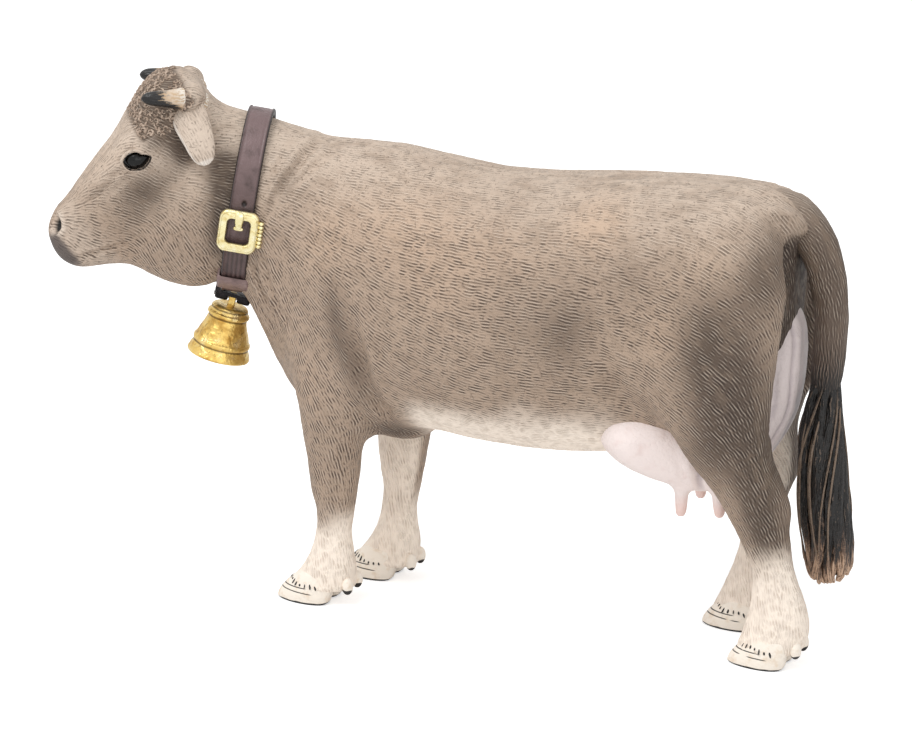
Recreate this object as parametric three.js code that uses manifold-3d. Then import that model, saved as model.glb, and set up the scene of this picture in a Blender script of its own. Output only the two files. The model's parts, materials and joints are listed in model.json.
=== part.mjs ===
// A toy dairy cow in millimetres, +Z up, standing on z = 0 and facing -X.
// The figure is moulded in pieces that plug together. A buckled collar carries a bell that swings.
import * as THREE from "three";
import { mergeVertices } from "three/addons/utils/BufferGeometryUtils.js";
import Module from "manifold-3d";

const wasm = await Module();
wasm.setup();
const radians = THREE.MathUtils.degToRad;
const UP = new THREE.Vector3(0, 0, 1);
const LEFT = -1;
const RIGHT = 1;

// Fits
const fit = 0.3; // clearance between two pieces that are cut to each other
const seam = 0.24; // parting line between the two body halves
const runningFit = 0.15; // clearance round a pivot
const looseFit = 0.45; // clearance of the hanger's loop round the strap
const overrun = 2; // how far a cutter runs past what it cuts

// Trunk and neck. The spine is straight over the barrel and bends evenly towards the head.
const withersHeight = 77.4;
const barrelHalfWidth = 20;
const rumpReach = 61; // from the middle of the barrel back to the rump
const collarReach = 36; // along the spine from the middle to the collar
const throatLength = 23; // how far the neck runs past the collar, inside the head
const torsoLength = rumpReach + collarReach + throatLength;
const bendReach = 12; // where the spine starts to bend, ahead of the middle
const bendLength = 35;
const headTurn = radians(28); // to the animal's left
const pegRadius = 1.6; // of the pegs that hold the halves together
const pegLength = 6;

// Legs. A foot stands ahead of or behind its pair, and its leg leans from the same hip or shoulder.
const foreReach = 18; // left fore leg's axis, ahead of the middle of the barrel
const hindReach = 56; // left hind leg's axis, behind the middle
const foreStep = 5; // how far the right fore foot stands behind the left
const hindStep = 9.4; // how far the right hind foot stands ahead of the left
const foreGirth = 10; // scale of the fore leg's depth from front to back
const hindGirth = 20; // scale of the hind leg's depth
const trackHalfWidth = 7.6; // from the middle plane to a hoof's middle
const hoofHalfWidth = 4.5;
const cleftWidth = 1.1;
const cleftLength = 8.5;
const dewclawRadius = 1.2;

// Head
const headAhead = 12.6; // from the collar along the spine to the head's reference point
const headReach = collarReach + headAhead;
const headDrop = 5.4; // of the reference point below the withers
const headHeight = withersHeight - headDrop;
const headPitch = radians(38); // the face slopes down
const headLength = 36.4; // from the poll to the nose
const headDepth = 27; // through forehead and jaw
const headHalfWidth = 8.8;
const eyeLength = 4.7;
const eyeHeight = 3.3;
const eyeDepth = 1.9;
const eyeBulge = 0.6;
const browBulge = 0.35;
const nostrilRadius = 0.75;
const hornRadius = 1.95;
const hornTipRadius = 0.75;
const earLength = 10.6;
const earHalfWidth = 2.8;
const earThickness = 1.7;
const plugLength = 6; // how deep the head's plug goes into the neck
const plugShare = 0.55; // of the neck's section

// Tail and udder
const tailOverhang = 4; // how far behind the rump the tail hangs
const tailReach = rumpReach + tailOverhang;
const tailRadius = 2.6;
const lockDepth = 0.35; // of the grooves between the locks of the switch
const udderLength = 32;
const udderInset = 1.5; // of the udder's end ahead of the rump
const udderReach = rumpReach - udderInset - udderLength; // from the middle to the udder's front
const udderHalfWidth = 8.6;
const teatLength = 5;
const teatRadius = 1.15;

// Collar and buckle
const strapWidth = 4.2;
const strapThickness = 1;
const collarLean = radians(9.2); // the collar's axis rises towards the head
const keeperLength = 3; // along the strap
const keeperThickness = 0.5;
const buckleSize = 6.5;
const buckleBar = 1.1;
const buckleThickness = 0.9;
const prongRadius = 0.4;
const keeperAngle = radians(-52); // round the neck from its left side
const buckleAngle = radians(-7);

// Bell
const bellLean = radians(15); // the bell's mouth hangs forward by this much
const hangerWall = 0.7; // of the hanger's loop round the strap
const hangerBlock = 1.6; // height of the hanger's cheeks
const hangerWidth = 2.6; // along the strap
const pinRadius = 0.35;
const lugWidth = 1.2; // of the bell's hanging lug, along its pin
const lugRadius = 0.85;
const crownGap = 0.65; // leaves the crown clear of the cheeks when the bell swings
const bellHeight = 8.8;
const bellMouthRadius = 5.3;
const bellWall = 0.7;
const clapperRadius = 1.2;
const clapperRodRadius = 0.4;
const clapperWire = 0.3;

// Counts
const counts = {
  torso: 24,
  leg: 12,
  head: 18,
  ear: 10,
  udder: 14,
  tail: 21,
  locks: 7,
  strap: 36,
  round: 10,
  small: 8,
  bell: 20,
  bend: 12,
};

// Trunk and neck: reach as a share of torsoLength from the rump, then top, bottom and widest
// height as shares of withersHeight, half width as a share of barrelHalfWidth, roundness above
// and below
const torsoShares = [
  [0, 0.904, 0.724, 0.827, 0.125, 2, 2],
  [0.008, 0.941, 0.646, 0.82, 0.325, 2, 2],
  [0.033, 0.972, 0.568, 0.814, 0.525, 2.1, 2],
  [0.075, 0.988, 0.504, 0.807, 0.675, 2.2, 2],
  [0.133, 0.99, 0.446, 0.801, 0.78, 2.3, 2],
  [0.208, 0.986, 0.411, 0.775, 0.87, 2.2, 2.1],
  [0.283, 0.981, 0.393, 0.724, 0.94, 2.1, 2.2],
  [0.367, 0.972, 0.385, 0.678, 1, 2, 2.2],
  [0.45, 0.97, 0.39, 0.665, 1, 2, 2.2],
  [0.533, 0.986, 0.398, 0.672, 0.96, 1.9, 2.2],
  [0.592, 1.001, 0.373, 0.685, 0.89, 1.8, 2.2],
  [0.642, 1.003, 0.367, 0.698, 0.82, 1.8, 2.1],
  [0.683, 1.004, 0.377, 0.711, 0.75, 1.8, 2.1],
  [0.717, 1.014, 0.406, 0.743, 0.68, 1.8, 2],
  [0.75, 1.028, 0.465, 0.782, 0.605, 1.9, 2],
  [0.779, 1.041, 0.55, 0.82, 0.545, 2, 2],
  [0.808, 1.052, 0.643, 0.853, 0.495, 2, 2],
  [0.829, 1.062, 0.676, 0.866, 0.48, 2, 2],
  [0.85, 1.074, 0.683, 0.872, 0.47, 2, 2],
  [0.875, 1.074, 0.672, 0.866, 0.46, 2, 2],
  [0.908, 1.034, 0.678, 0.859, 0.42, 2, 2],
  [0.942, 0.969, 0.698, 0.84, 0.34, 2, 2],
  [0.975, 0.879, 0.726, 0.807, 0.23, 2, 2],
  [1, 0.814, 0.744, 0.782, 0.125, 2, 2],
];

// Pegs that locate the halves: place behind the middle as a share of rumpReach, height as a share
// of withersHeight
const pegShares = [
  [-0.3, 0.6],
  [0.175, 0.7],
  [0.36, 0.87],
];

// Legs: height as a share of withersHeight, reach forward and back from the leg's axis as
// shares of its girth, distance from the middle plane as a share of trackHalfWidth, half width
// as a share of hoofHalfWidth
const foreLegShares = [
  [0, 0.92, 0.22, 1, 0.911],
  [0.013, 0.99, 0.27, 1, 1],
  [0.039, 0.87, 0.29, 1, 0.978],
  [0.059, 0.74, 0.3, 1.013, 0.867],
  [0.084, 0.59, 0.31, 1.026, 0.822],
  [0.116, 0.46, 0.27, 1.039, 0.711],
  [0.161, 0.37, 0.24, 1.066, 0.622],
  [0.207, 0.33, 0.31, 1.092, 0.689],
  [0.252, 0.39, 0.37, 1.132, 0.822],
  [0.297, 0.43, 0.43, 1.171, 0.889],
  [0.349, 0.45, 0.49, 1.224, 0.956],
  [0.401, 0.5, 0.58, 1.289, 1.111],
  [0.452, 0.53, 0.83, 1.342, 1.267],
  [0.53, 0.67, 1.05, 1.329, 1.378],
  [0.633, 0.78, 1.05, 1.25, 1.378],
  [0.749, 0.6, 0.7, 1.053, 0.8],
  [0.827, 0.2, 0.3, 0.921, 0.444],
];
const hindLegShares = [
  [0, 0.21, 0.25, 1, 0.889],
  [0.013, 0.23, 0.3, 1, 1],
  [0.039, 0.195, 0.34, 1, 0.978],
  [0.062, 0.16, 0.38, 1, 0.889],
  [0.09, 0.13, 0.395, 1.013, 0.822],
  [0.136, 0.09, 0.36, 1.026, 0.711],
  [0.187, 0.07, 0.285, 1.053, 0.644],
  [0.239, 0.13, 0.24, 1.079, 0.689],
  [0.291, 0.215, 0.22, 1.132, 0.822],
  [0.342, 0.33, 0.235, 1.197, 0.956],
  [0.394, 0.46, 0.17, 1.276, 1.089],
  [0.446, 0.6, 0.09, 1.355, 1.244],
  [0.504, 0.75, 0.075, 1.421, 1.444],
  [0.568, 0.95, 0.1, 1.447, 1.556],
  [0.646, 1.175, 0.13, 1.447, 1.578],
  [0.736, 1.3, 0.18, 1.395, 1.511],
  [0.827, 1.25, 0.16, 1.289, 1.333],
  [0.917, 1, 0.025, 1.118, 0.956],
  [0.969, 0.7, -0.25, 0.921, 0.444],
];
const foreHipShare = 2; // of withersHeight, the height at which a leg's lean would end
const hindHipShare = 0.54;
const hoofShare = 0.059; // of withersHeight, the coronet
const leanPower = 1.5; // how evenly a leg leans
const legRoundness = { above: 2.3, below: 2.2 };
// Dewclaw: how far it is set in, out, up, and its half width and height
const dewclawShares = { inset: 0.4, out: 0.42, rise: 0.9, half: 0.8, tall: 1.3 };

// Skull: place along the face as a share of headLength, then top, bottom and widest level as
// shares of headDepth, half width as a share of headHalfWidth, roundness above and below
const skullShares = [
  [-0.357, 0.363, 0.148, 0.259, 0.232, 2, 2],
  [-0.338, 0.437, 0, 0.222, 0.505, 2, 2],
  [-0.275, 0.511, -0.148, 0.222, 0.758, 2.2, 2],
  [-0.192, 0.53, -0.296, 0.204, 0.916, 2.3, 2],
  [-0.082, 0.493, -0.389, 0.185, 0.979, 2.4, 2],
  [0.027, 0.426, -0.463, 0.167, 1, 2.4, 2],
  [0.11, 0.381, -0.481, 0.156, 0.968, 2.5, 2],
  [0.22, 0.348, -0.467, 0.111, 0.821, 2.4, 2],
  [0.33, 0.311, -0.407, 0.074, 0.674, 2.3, 2],
  [0.426, 0.274, -0.307, 0.044, 0.579, 2.3, 2.1],
  [0.508, 0.252, -0.207, 0.03, 0.558, 2.3, 2.2],
  [0.571, 0.215, -0.156, 0.026, 0.547, 2.3, 2.2],
  [0.615, 0.163, -0.1, 0.026, 0.463, 2.2, 2.2],
  [0.64, 0.081, -0.033, 0.022, 0.274, 2, 2],
];

// Places on the head: shares of headLength, headDepth and headHalfWidth
const eyeShare = [0.075, 0.225];
const nostrilShare = [0.578, 0.15, 0.468];
const nostrilTallShare = 1.8; // of nostrilRadius
const browShares = [0.85, 0.95, 1]; // of eyeLength, eyeHeight and eyeDepth
const hornTaperPower = 1.3;
const hornDomeShare = 0.12; // of the horn's path, rounded off at the tip
const hornEndShare = 0.2; // of the tip's radius, where the rounding ends
const hornPathShares = [
  [-0.3, 0.25, 0.45],
  [-0.275, 0.325, 0.8],
  [-0.225, 0.4, 1.0],
  [-0.135, 0.51, 1.07],
];
const earPathShares = [
  [-0.26, 0.29, 0.62],
  [-0.245, 0.25, 0.95],
  [-0.22, 0.13, 1.17],
  [-0.175, -0.035, 1.33],
];
// Ear: place along it, half width as a share of earHalfWidth, thickness as a share of earThickness
const earShares = [
  [0, 0.5, 1.1],
  [0.14, 0.62, 1.1],
  [0.32, 0.9, 0.9],
  [0.52, 1, 0.72],
  [0.72, 0.9, 0.6],
  [0.87, 0.62, 0.5],
  [0.96, 0.34, 0.36],
  [1, 0.12, 0.2],
];
// Hollow of the ear: place along it, offset as a share of earThickness, then half sizes as
// shares of earHalfWidth, earThickness and earLength
const earHollowShares = { along: 0.62, offset: 0.62, half: 0.72, depth: 0.55, long: 0.3 };

// Tail: distance behind the middle as a share of tailReach, height as a share of withersHeight,
// radius as a share of tailRadius
const tailShares = [
  [0.708, 0.92, 1],
  [0.794, 0.942, 1.192],
  [0.871, 0.932, 1.308],
  [0.928, 0.889, 1.269],
  [0.963, 0.824, 1.154],
  [0.98, 0.74, 1.038],
  [0.978, 0.655, 1],
  [0.972, 0.592, 1],
  [0.966, 0.526, 1.135],
  [0.966, 0.441, 1.462],
  [0.977, 0.336, 1.615],
  [0.997, 0.239, 1.615],
  [1.009, 0.187, 1.192],
  [1.015, 0.168, 0.577],
];
const switchShare = 1.05; // of tailRadius, beyond which the hair parts into locks
const switchBlendShare = 0.3; // of tailRadius, over which the locks deepen
const lockTwist = radians(126); // turn of the locks along the tail

// Udder: place as a share of udderLength, top and bottom as shares of withersHeight, half width
// as a share of udderHalfWidth
const udderShares = [
  [0, 0.51, 0.44, 0.5],
  [0.04, 0.54, 0.405, 1.15],
  [0.12, 0.56, 0.378, 1.5],
  [0.22, 0.57, 0.358, 1.58],
  [0.328, 0.57, 0.34, 1.4],
  [0.469, 0.57, 0.326, 1.12],
  [0.609, 0.6, 0.333, 1],
  [0.734, 0.65, 0.364, 0.884],
  [0.859, 0.715, 0.424, 0.74],
  [0.953, 0.745, 0.496, 0.52],
  [1, 0.715, 0.568, 0.233],
];
// Teats: places as shares of udderLength and udderHalfWidth
const teatShares = [
  [0.425, 0.5],
  [0.607, 0.42],
];
const teatTipShare = 0.75; // of teatRadius
const teatRootShare = 1.5; // of teatRadius
const teatSplay = radians(7); // lean away from the middle

// Bell's outside from the crown to the lip: radius and depth as shares of the mouth's radius
// and the height
const bellShares = [
  [0.43, 0],
  [0.58, 0.04],
  [0.6, 0.12],
  [0.655, 0.15],
  [0.655, 0.2],
  [0.61, 0.23],
  [0.65, 0.32],
  [0.72, 0.44],
  [0.8, 0.56],
  [0.865, 0.66],
  [0.91, 0.69],
  [0.915, 0.74],
  [0.89, 0.78],
  [0.95, 0.88],
  [1, 0.97],
  [1, 1],
];
// Bell's inside from the lip to the crown, before the wall is taken off its radius
const bellInsideShares = [
  [1, 1],
  [0.94, 0.9],
  [0.86, 0.75],
  [0.8, 0.6],
  [0.715, 0.45],
  [0.63, 0.3],
  [0.59, 0.18],
];
const shoulderShare = 0.75; // of the inside's smallest radius, under the roof
const clapperBarShare = 0.25; // of bellHeight, the depth of the bar that the clapper hangs on
const clapperShare = 0.83; // of bellHeight, the depth of the clapper's ball
const bevelShare = 0.22; // of buckleThickness
const prongTaperShare = 0.45; // of prongRadius, lost at its tip

// Materials
const finish = (color, roughness, metalness = 0) =>
  new THREE.MeshStandardMaterial({ color, roughness, metalness });
const hide = finish("#9a8676", 0.75);
const skin = finish("#e6cfc9", 0.6);
const darkHair = finish("#2a211d", 0.7);
const horn = finish("#cfc2a8", 0.5);
const eyeBlack = finish("#0d0b0b", 0.12);
const strapBrown = finish("#4f3b3a", 0.5);
const blackened = finish("#1d1819", 0.5);
const gilt = finish("#d9a441", 0.35, 0.9);
const brass = finish("#e6cf86", 0.3, 0.9);
const steel = finish("#8d8f92", 0.35, 1);

// Solids
function toSolid(geometry) {
  const bare = geometry.clone();
  bare.deleteAttribute("normal");
  bare.deleteAttribute("uv");
  const merged = mergeVertices(bare);
  return new wasm.Manifold(
    new wasm.Mesh({
      numProp: 3,
      vertProperties: merged.attributes.position.array,
      triVerts: new Uint32Array(merged.index.array),
    }),
  );
}

function toMesh(name, solid, material) {
  const { vertProperties, triVerts } = solid.getMesh();
  const geometry = new THREE.BufferGeometry();
  geometry.setAttribute("position", new THREE.BufferAttribute(vertProperties, 3));
  geometry.setIndex(new THREE.BufferAttribute(triVerts, 1));
  geometry.computeVertexNormals();
  const mesh = new THREE.Mesh(geometry, material);
  mesh.name = name;
  return mesh;
}

const joined = (solids) => solids.reduce((sum, next) => sum.add(next));

// One row of a table at a station between its keys, on a smooth curve
function rowAt(rows, station) {
  const last = rows.length - 1;
  let i = 0;
  while (i < last - 1 && rows[i + 1][0] < station) i += 1;
  const [from, to] = [rows[i], rows[i + 1]];
  const [before, after] = [rows[Math.max(i - 1, 0)], rows[Math.min(i + 2, last)]];
  const span = to[0] - from[0];
  const t = (station - from[0]) / span;
  const slope = (a, b, k) => ((b[k] - a[k]) / (b[0] - a[0])) * span;
  return from.map((value, k) => {
    const start = slope(before, to, k);
    const end = slope(from, after, k);
    const rise = to[k] - value;
    return value + t * (start + t * (3 * rise - 2 * start - end + t * (start + end - 2 * rise)));
  });
}

// The keys of a table with the rows between them
function filled(rows, between = 1) {
  return rows.flatMap((row, i) => {
    if (i === rows.length - 1) return [row];
    const gap = (rows[i + 1][0] - row[0]) / (between + 1);
    return Array.from({ length: between + 1 }, (_, k) => rowAt(rows, row[0] + k * gap));
  });
}

// A closed ring of points round a centre, with its own reach sideways, up and down
function ring({ centre, side, up, half, rise, drop, above = 2, below = 2 }, sides) {
  return Array.from({ length: sides }, (_, i) => {
    const angle = (2 * Math.PI * i) / sides;
    const [c, s] = [Math.cos(angle), Math.sin(angle)];
    const power = 2 / (s >= 0 ? above : below);
    const across = half * Math.sign(c) * Math.abs(c) ** power;
    const height = (s >= 0 ? rise : drop) * Math.sign(s) * Math.abs(s) ** power;
    return centre.clone().addScaledVector(side, across).addScaledVector(up, height);
  });
}

// A skin over rings, capped at both ends, or closed on itself
function loft(rings, { closed = false } = {}) {
  const sides = rings[0].length;
  const points = rings.flat();
  const faces = [];
  const bands = closed ? rings.length : rings.length - 1;
  for (let r = 0; r < bands; r += 1) {
    const [near, far] = [r * sides, ((r + 1) % rings.length) * sides];
    for (let i = 0; i < sides; i += 1) {
      const j = (i + 1) % sides;
      faces.push([near + i, near + j, far + j], [near + i, far + j, far + i]);
    }
  }
  if (!closed) {
    [0, rings.length - 1].forEach((r) => {
      const middle = new THREE.Vector3();
      rings[r].forEach((point) => middle.addScaledVector(point, 1 / sides));
      points.push(middle);
      for (let i = 0; i < sides; i += 1) {
        const edge = [r * sides + ((i + 1) % sides), r * sides + i];
        faces.push([points.length - 1, ...(r === 0 ? edge : edge.reverse())]);
      }
    });
  }
  const volume = faces.reduce((sum, [a, b, c]) => {
    return sum + points[a].dot(points[b].clone().cross(points[c]));
  }, 0);
  const outward = volume > 0 ? faces : faces.map((face) => face.reverse());
  const geometry = new THREE.BufferGeometry().setFromPoints(points);
  geometry.setIndex(outward.flat());
  return geometry;
}

// A tube of changing section along a curve. The side direction is kept square to the curve.
function tube(curve, steps, sides, side, sizesAt) {
  const rings = Array.from({ length: steps + 1 }, (_, i) => {
    const t = i / steps;
    const tangent = curve.getTangent(t);
    const up = new THREE.Vector3().crossVectors(tangent, side).normalize();
    const across = new THREE.Vector3().crossVectors(up, tangent).normalize();
    const { half, rise, ripple = () => 1 } = sizesAt(t);
    const centre = curve.getPoint(t);
    const points = ring({ centre, side: across, up, half, rise, drop: rise }, sides);
    return points.map((point, k) => point.sub(centre).multiplyScalar(ripple(k)).add(centre));
  });
  return loft(rings);
}

// A large block that fills the side of a plane that a direction points to
function beyond(point, direction) {
  const size = 4 * torsoLength;
  const block = new THREE.BoxGeometry(size, size, size);
  block.translate(0, 0, size / 2);
  block.applyQuaternion(new THREE.Quaternion().setFromUnitVectors(UP, direction));
  block.translate(point.x, point.y, point.z);
  return toSolid(block);
}

// An egg shape: a sphere stretched along three directions
function egg(centre, axes, sizes, detail = counts.round) {
  const sphere = new THREE.SphereGeometry(1, detail, Math.ceil(detail / 2));
  const basis = new THREE.Matrix4().makeBasis(...axes);
  sphere.applyMatrix4(new THREE.Matrix4().makeScale(...sizes));
  sphere.applyMatrix4(basis.setPosition(centre));
  return toSolid(sphere);
}

// Spine: the place and directions at a distance ahead of the middle of the barrel
function spineAt(reach) {
  const radius = bendLength / headTurn;
  const angle = THREE.MathUtils.clamp((reach - bendReach) / bendLength, 0, 1) * headTurn;
  const straight = Math.min(reach, bendReach);
  const beyondBend = Math.max(reach - bendReach - bendLength, 0);
  const [c, s] = [Math.cos(angle), Math.sin(angle)];
  return {
    x: -straight - radius * s - beyondBend * c,
    y: -radius * (1 - c) - beyondBend * s,
    ahead: new THREE.Vector3(-c, -s, 0),
    left: new THREE.Vector3(s, -c, 0),
  };
}

// A direction that rises from straight ahead by an angle
function rising(ahead, angle) {
  return ahead.clone().multiplyScalar(Math.cos(angle)).addScaledVector(UP, Math.sin(angle));
}
const quarter = Math.PI / 2;

// Trunk and neck
function torsoRing([share, top, bottom, widest, half, above, below], scale = 1, grow = 0) {
  const spine = spineAt(share * torsoLength - rumpReach);
  const level = widest * withersHeight;
  return ring(
    {
      centre: new THREE.Vector3(spine.x, spine.y, level),
      side: spine.left,
      up: UP,
      half: half * barrelHalfWidth * scale + grow,
      rise: (top * withersHeight - level) * scale + grow,
      drop: (level - bottom * withersHeight) * scale + grow,
      above,
      below,
    },
    counts.torso,
  );
}
const torso = toSolid(loft(filled(torsoShares).map((row) => torsoRing(row))));

// Legs
function leg(shares, { reach, step, girth, hip, hand }) {
  const axisAt = (height) => {
    const lean = 1 - Math.min(height / (hip * withersHeight), 1) ** leanPower;
    return -reach - step * lean;
  };
  const rings = shares.map(([share, forward, back, track, half]) => {
    const height = share * withersHeight;
    const depth = ((forward + back) * girth) / 2;
    const middle = axisAt(height) + ((back - forward) * girth) / 2;
    return ring(
      {
        centre: new THREE.Vector3(middle, hand * track * trackHalfWidth, height),
        side: new THREE.Vector3(0, hand, 0),
        up: new THREE.Vector3(-1, 0, 0),
        half: half * hoofHalfWidth,
        rise: depth,
        drop: depth,
        ...legRoundness,
      },
      counts.leg,
    );
  });
  const hoofTop = hoofShare * withersHeight;
  const [, forward, back, track] = rowAt(shares, shares[1][0]);
  const toe = axisAt(0) - forward * girth;
  const middle = hand * track * trackHalfWidth;
  const cleft = new THREE.Shape([
    new THREE.Vector2(toe - overrun, middle - cleftWidth),
    new THREE.Vector2(toe + cleftLength, middle),
    new THREE.Vector2(toe - overrun, middle + cleftWidth),
  ]);
  const depth = hoofTop + overrun;
  const groove = new THREE.ExtrudeGeometry(cleft, { depth, bevelEnabled: false });
  groove.translate(0, 0, -overrun);
  const claws = [LEFT, RIGHT].map((end) => {
    const heel = new THREE.Vector3(
      axisAt(0) + rowAt(shares, hoofShare)[2] * girth - dewclawRadius * dewclawShares.inset,
      middle + end * hoofHalfWidth * dewclawShares.out,
      hoofTop + dewclawRadius * dewclawShares.rise,
    );
    const axes = [new THREE.Vector3(1, 0, 0), new THREE.Vector3(0, 1, 0), UP];
    const sizes = [1, dewclawShares.half, dewclawShares.tall].map((share) => share * dewclawRadius);
    return egg(heel, axes, sizes, counts.small);
  });
  return joined([toSolid(loft(rings)), ...claws]).subtract(toSolid(groove));
}
const fore = { reach: foreReach, girth: foreGirth, hip: foreHipShare };
const hind = { reach: -hindReach, girth: hindGirth, hip: hindHipShare };
const legs = [
  leg(foreLegShares, { ...fore, step: 0, hand: LEFT }),
  leg(foreLegShares, { ...fore, step: -foreStep, hand: RIGHT }),
  leg(hindLegShares, { ...hind, step: 0, hand: LEFT }),
  leg(hindLegShares, { ...hind, step: hindStep, hand: RIGHT }),
];

// Head frame
const headSpine = spineAt(headReach);
const faceAxis = rising(headSpine.ahead, -headPitch);
const faceUp = rising(headSpine.ahead, quarter - headPitch);
function headPoint(along, level, across) {
  return new THREE.Vector3(headSpine.x, headSpine.y, headHeight)
    .addScaledVector(faceAxis, along * headLength)
    .addScaledVector(faceUp, level * headDepth)
    .addScaledVector(headSpine.left, across * headHalfWidth);
}

// How far the skull reaches sideways at a place and level, as a share of headHalfWidth
function cheekShare(along, level) {
  const [, top, , widest, half, above] = rowAt(skullShares, along);
  const height = Math.abs((level - widest) / (top - widest));
  return half * (1 - Math.min(height, 1) ** above) ** (1 / above);
}

function skull() {
  const rings = filled(skullShares).map(([share, top, bottom, widest, half, above, below]) =>
    ring(
      {
        centre: headPoint(share, widest, 0),
        side: headSpine.left,
        up: faceUp,
        half: half * headHalfWidth,
        rise: (top - widest) * headDepth,
        drop: (widest - bottom) * headDepth,
        above,
        below,
      },
      counts.head,
    ),
  );
  return toSolid(loft(rings));
}

// Eyes, brows and nostrils
const faceAxes = [faceAxis, faceUp, faceAxis.clone().cross(faceUp)];
function eyePlace(hand, bulge) {
  const surface = cheekShare(...eyeShare) * headHalfWidth + bulge - eyeDepth;
  return headPoint(...eyeShare, 0).addScaledVector(headSpine.left, -hand * surface);
}
function eye(hand, grow = 0) {
  const sizes = [eyeLength / 2 + grow, eyeHeight / 2 + grow, eyeDepth + grow];
  return egg(eyePlace(hand, eyeBulge), faceAxes, sizes);
}
function brow(hand) {
  const sizes = [eyeLength, eyeHeight, eyeDepth].map((size, i) => size * browShares[i]);
  return egg(eyePlace(hand, browBulge), faceAxes, sizes);
}
function nostril(hand) {
  const [along, level, across] = nostrilShare;
  const sizes = [nostrilRadius, nostrilRadius * nostrilTallShare, nostrilRadius];
  return egg(headPoint(along, level, -hand * across), faceAxes, sizes, counts.small);
}

// Horns and ears
function pathOf(shares, hand) {
  return new THREE.CatmullRomCurve3(
    shares.map(([along, level, across]) => headPoint(along, level, -hand * across)),
  );
}
function hornSolid(hand, grow = 0) {
  const path = pathOf(hornPathShares, hand);
  const size = (t) => {
    const taper = THREE.MathUtils.lerp(hornRadius, hornTipRadius, t ** hornTaperPower);
    const past = Math.max((t - 1) / hornDomeShare + 1, 0);
    const dome = Math.sqrt(Math.max(1 - past * past, hornEndShare ** 2));
    return { half: taper * dome + grow, rise: taper * dome + grow };
  };
  return toSolid(tube(path, 2 * counts.small, counts.round, UP, size));
}
function earSolid(hand, grow = 0) {
  const path = pathOf(earPathShares, hand);
  const size = (t) => {
    const [, width, thickness] = rowAt(earShares, t);
    return { half: width * earHalfWidth + grow, rise: (thickness * earThickness) / 2 + grow };
  };
  const leaf = toSolid(tube(path, counts.ear, counts.ear + 2, faceAxis, size));
  if (grow) return leaf;
  const { along, offset, half, depth, long } = earHollowShares;
  const middle = path.getPoint(along);
  const tangent = path.getTangent(along);
  const inward = new THREE.Vector3().crossVectors(tangent, faceAxis).normalize();
  if (inward.dot(headSpine.left) * -hand > 0) inward.negate();
  const across = new THREE.Vector3().crossVectors(inward, tangent);
  middle.addScaledVector(inward, earThickness * offset);
  const sizes = [earHalfWidth * half, earThickness * depth, earLength * long];
  const axes = [across, inward, across.clone().cross(inward)];
  return leaf.subtract(egg(middle, axes, sizes));
}

// Tail
const tailCurve = new THREE.CatmullRomCurve3(
  tailShares.map(([back, height]) => new THREE.Vector3(back * tailReach, 0, height * withersHeight)),
);
function tailSolid(grow = 0) {
  const radii = tailShares.map(([, , share], i) => [i / (tailShares.length - 1), share]);
  const size = (t) => {
    const [, share] = rowAt(radii, t);
    const radius = share * tailRadius + grow;
    const hair = THREE.MathUtils.clamp((share - switchShare) / switchBlendShare, 0, 1);
    const locks = grow ? 0 : hair;
    const ripple = (k) => {
      const angle = (2 * Math.PI * k) / counts.tail + lockTwist * t;
      return 1 - (locks * lockDepth * (1 + Math.cos(counts.locks * angle))) / (2 * radius);
    };
    return { half: radius, rise: radius, ripple };
  };
  return toSolid(tube(tailCurve, counts.torso, counts.tail, new THREE.Vector3(0, 1, 0), size));
}

// Udder with its four teats
function udderSolid(grow = 0) {
  const rings = udderShares.map(([share, top, bottom, half]) => {
    const depth = ((top - bottom) * withersHeight) / 2 + grow;
    return ring(
      {
        centre: new THREE.Vector3(
          udderReach + share * udderLength + (2 * share - 1) * grow,
          0,
          ((top + bottom) / 2) * withersHeight,
        ),
        side: new THREE.Vector3(0, 1, 0),
        up: UP,
        half: half * udderHalfWidth + grow,
        rise: depth,
        drop: depth,
      },
      counts.udder,
    );
  });
  return toSolid(loft(rings));
}
function teat([along, across], hand) {
  const bottom = rowAt(udderShares, along)[2] * withersHeight;
  const tip = teatRadius * teatTipShare;
  const dome = Array.from({ length: 5 }, (_, i) => {
    const angle = (i / 4) * quarter;
    return new THREE.Vector2(tip * Math.sin(angle), tip * (1 - Math.cos(angle)) - teatLength);
  });
  const shape = new THREE.LatheGeometry(
    [
      ...dome,
      new THREE.Vector2(teatRadius, 0),
      new THREE.Vector2(teatRadius * teatRootShare, teatRadius * 2),
      new THREE.Vector2(0, teatRadius * 2),
    ],
    counts.round,
  );
  shape.rotateX(quarter + hand * teatSplay);
  const place = [udderReach + along * udderLength, hand * across * udderHalfWidth];
  shape.translate(...place, bottom + teatRadius);
  return toSolid(shape);
}

// Collar frame: the collar lies in a plane that leans forward at its foot
const collarSpine = spineAt(collarReach);
const collarAxis = rising(collarSpine.ahead, collarLean);
const collarUp = rising(collarSpine.ahead, quarter + collarLean);
const neckRow = rowAt(torsoShares, (collarReach + rumpReach) / torsoLength);
const neckLevel = neckRow[3] * withersHeight;
const collarCentre = new THREE.Vector3(collarSpine.x, collarSpine.y, neckLevel);
function neckReachAt(column) {
  const straight = neckRow[column] * withersHeight - neckLevel;
  const shifted = collarReach - straight * Math.tan(collarLean);
  const row = rowAt(torsoShares, (shifted + rumpReach) / torsoLength);
  return Math.abs(row[column] * withersHeight - neckLevel) / Math.cos(collarLean);
}
const neck = {
  half: neckRow[4] * barrelHalfWidth,
  rise: neckReachAt(1),
  drop: neckReachAt(2),
};

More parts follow.
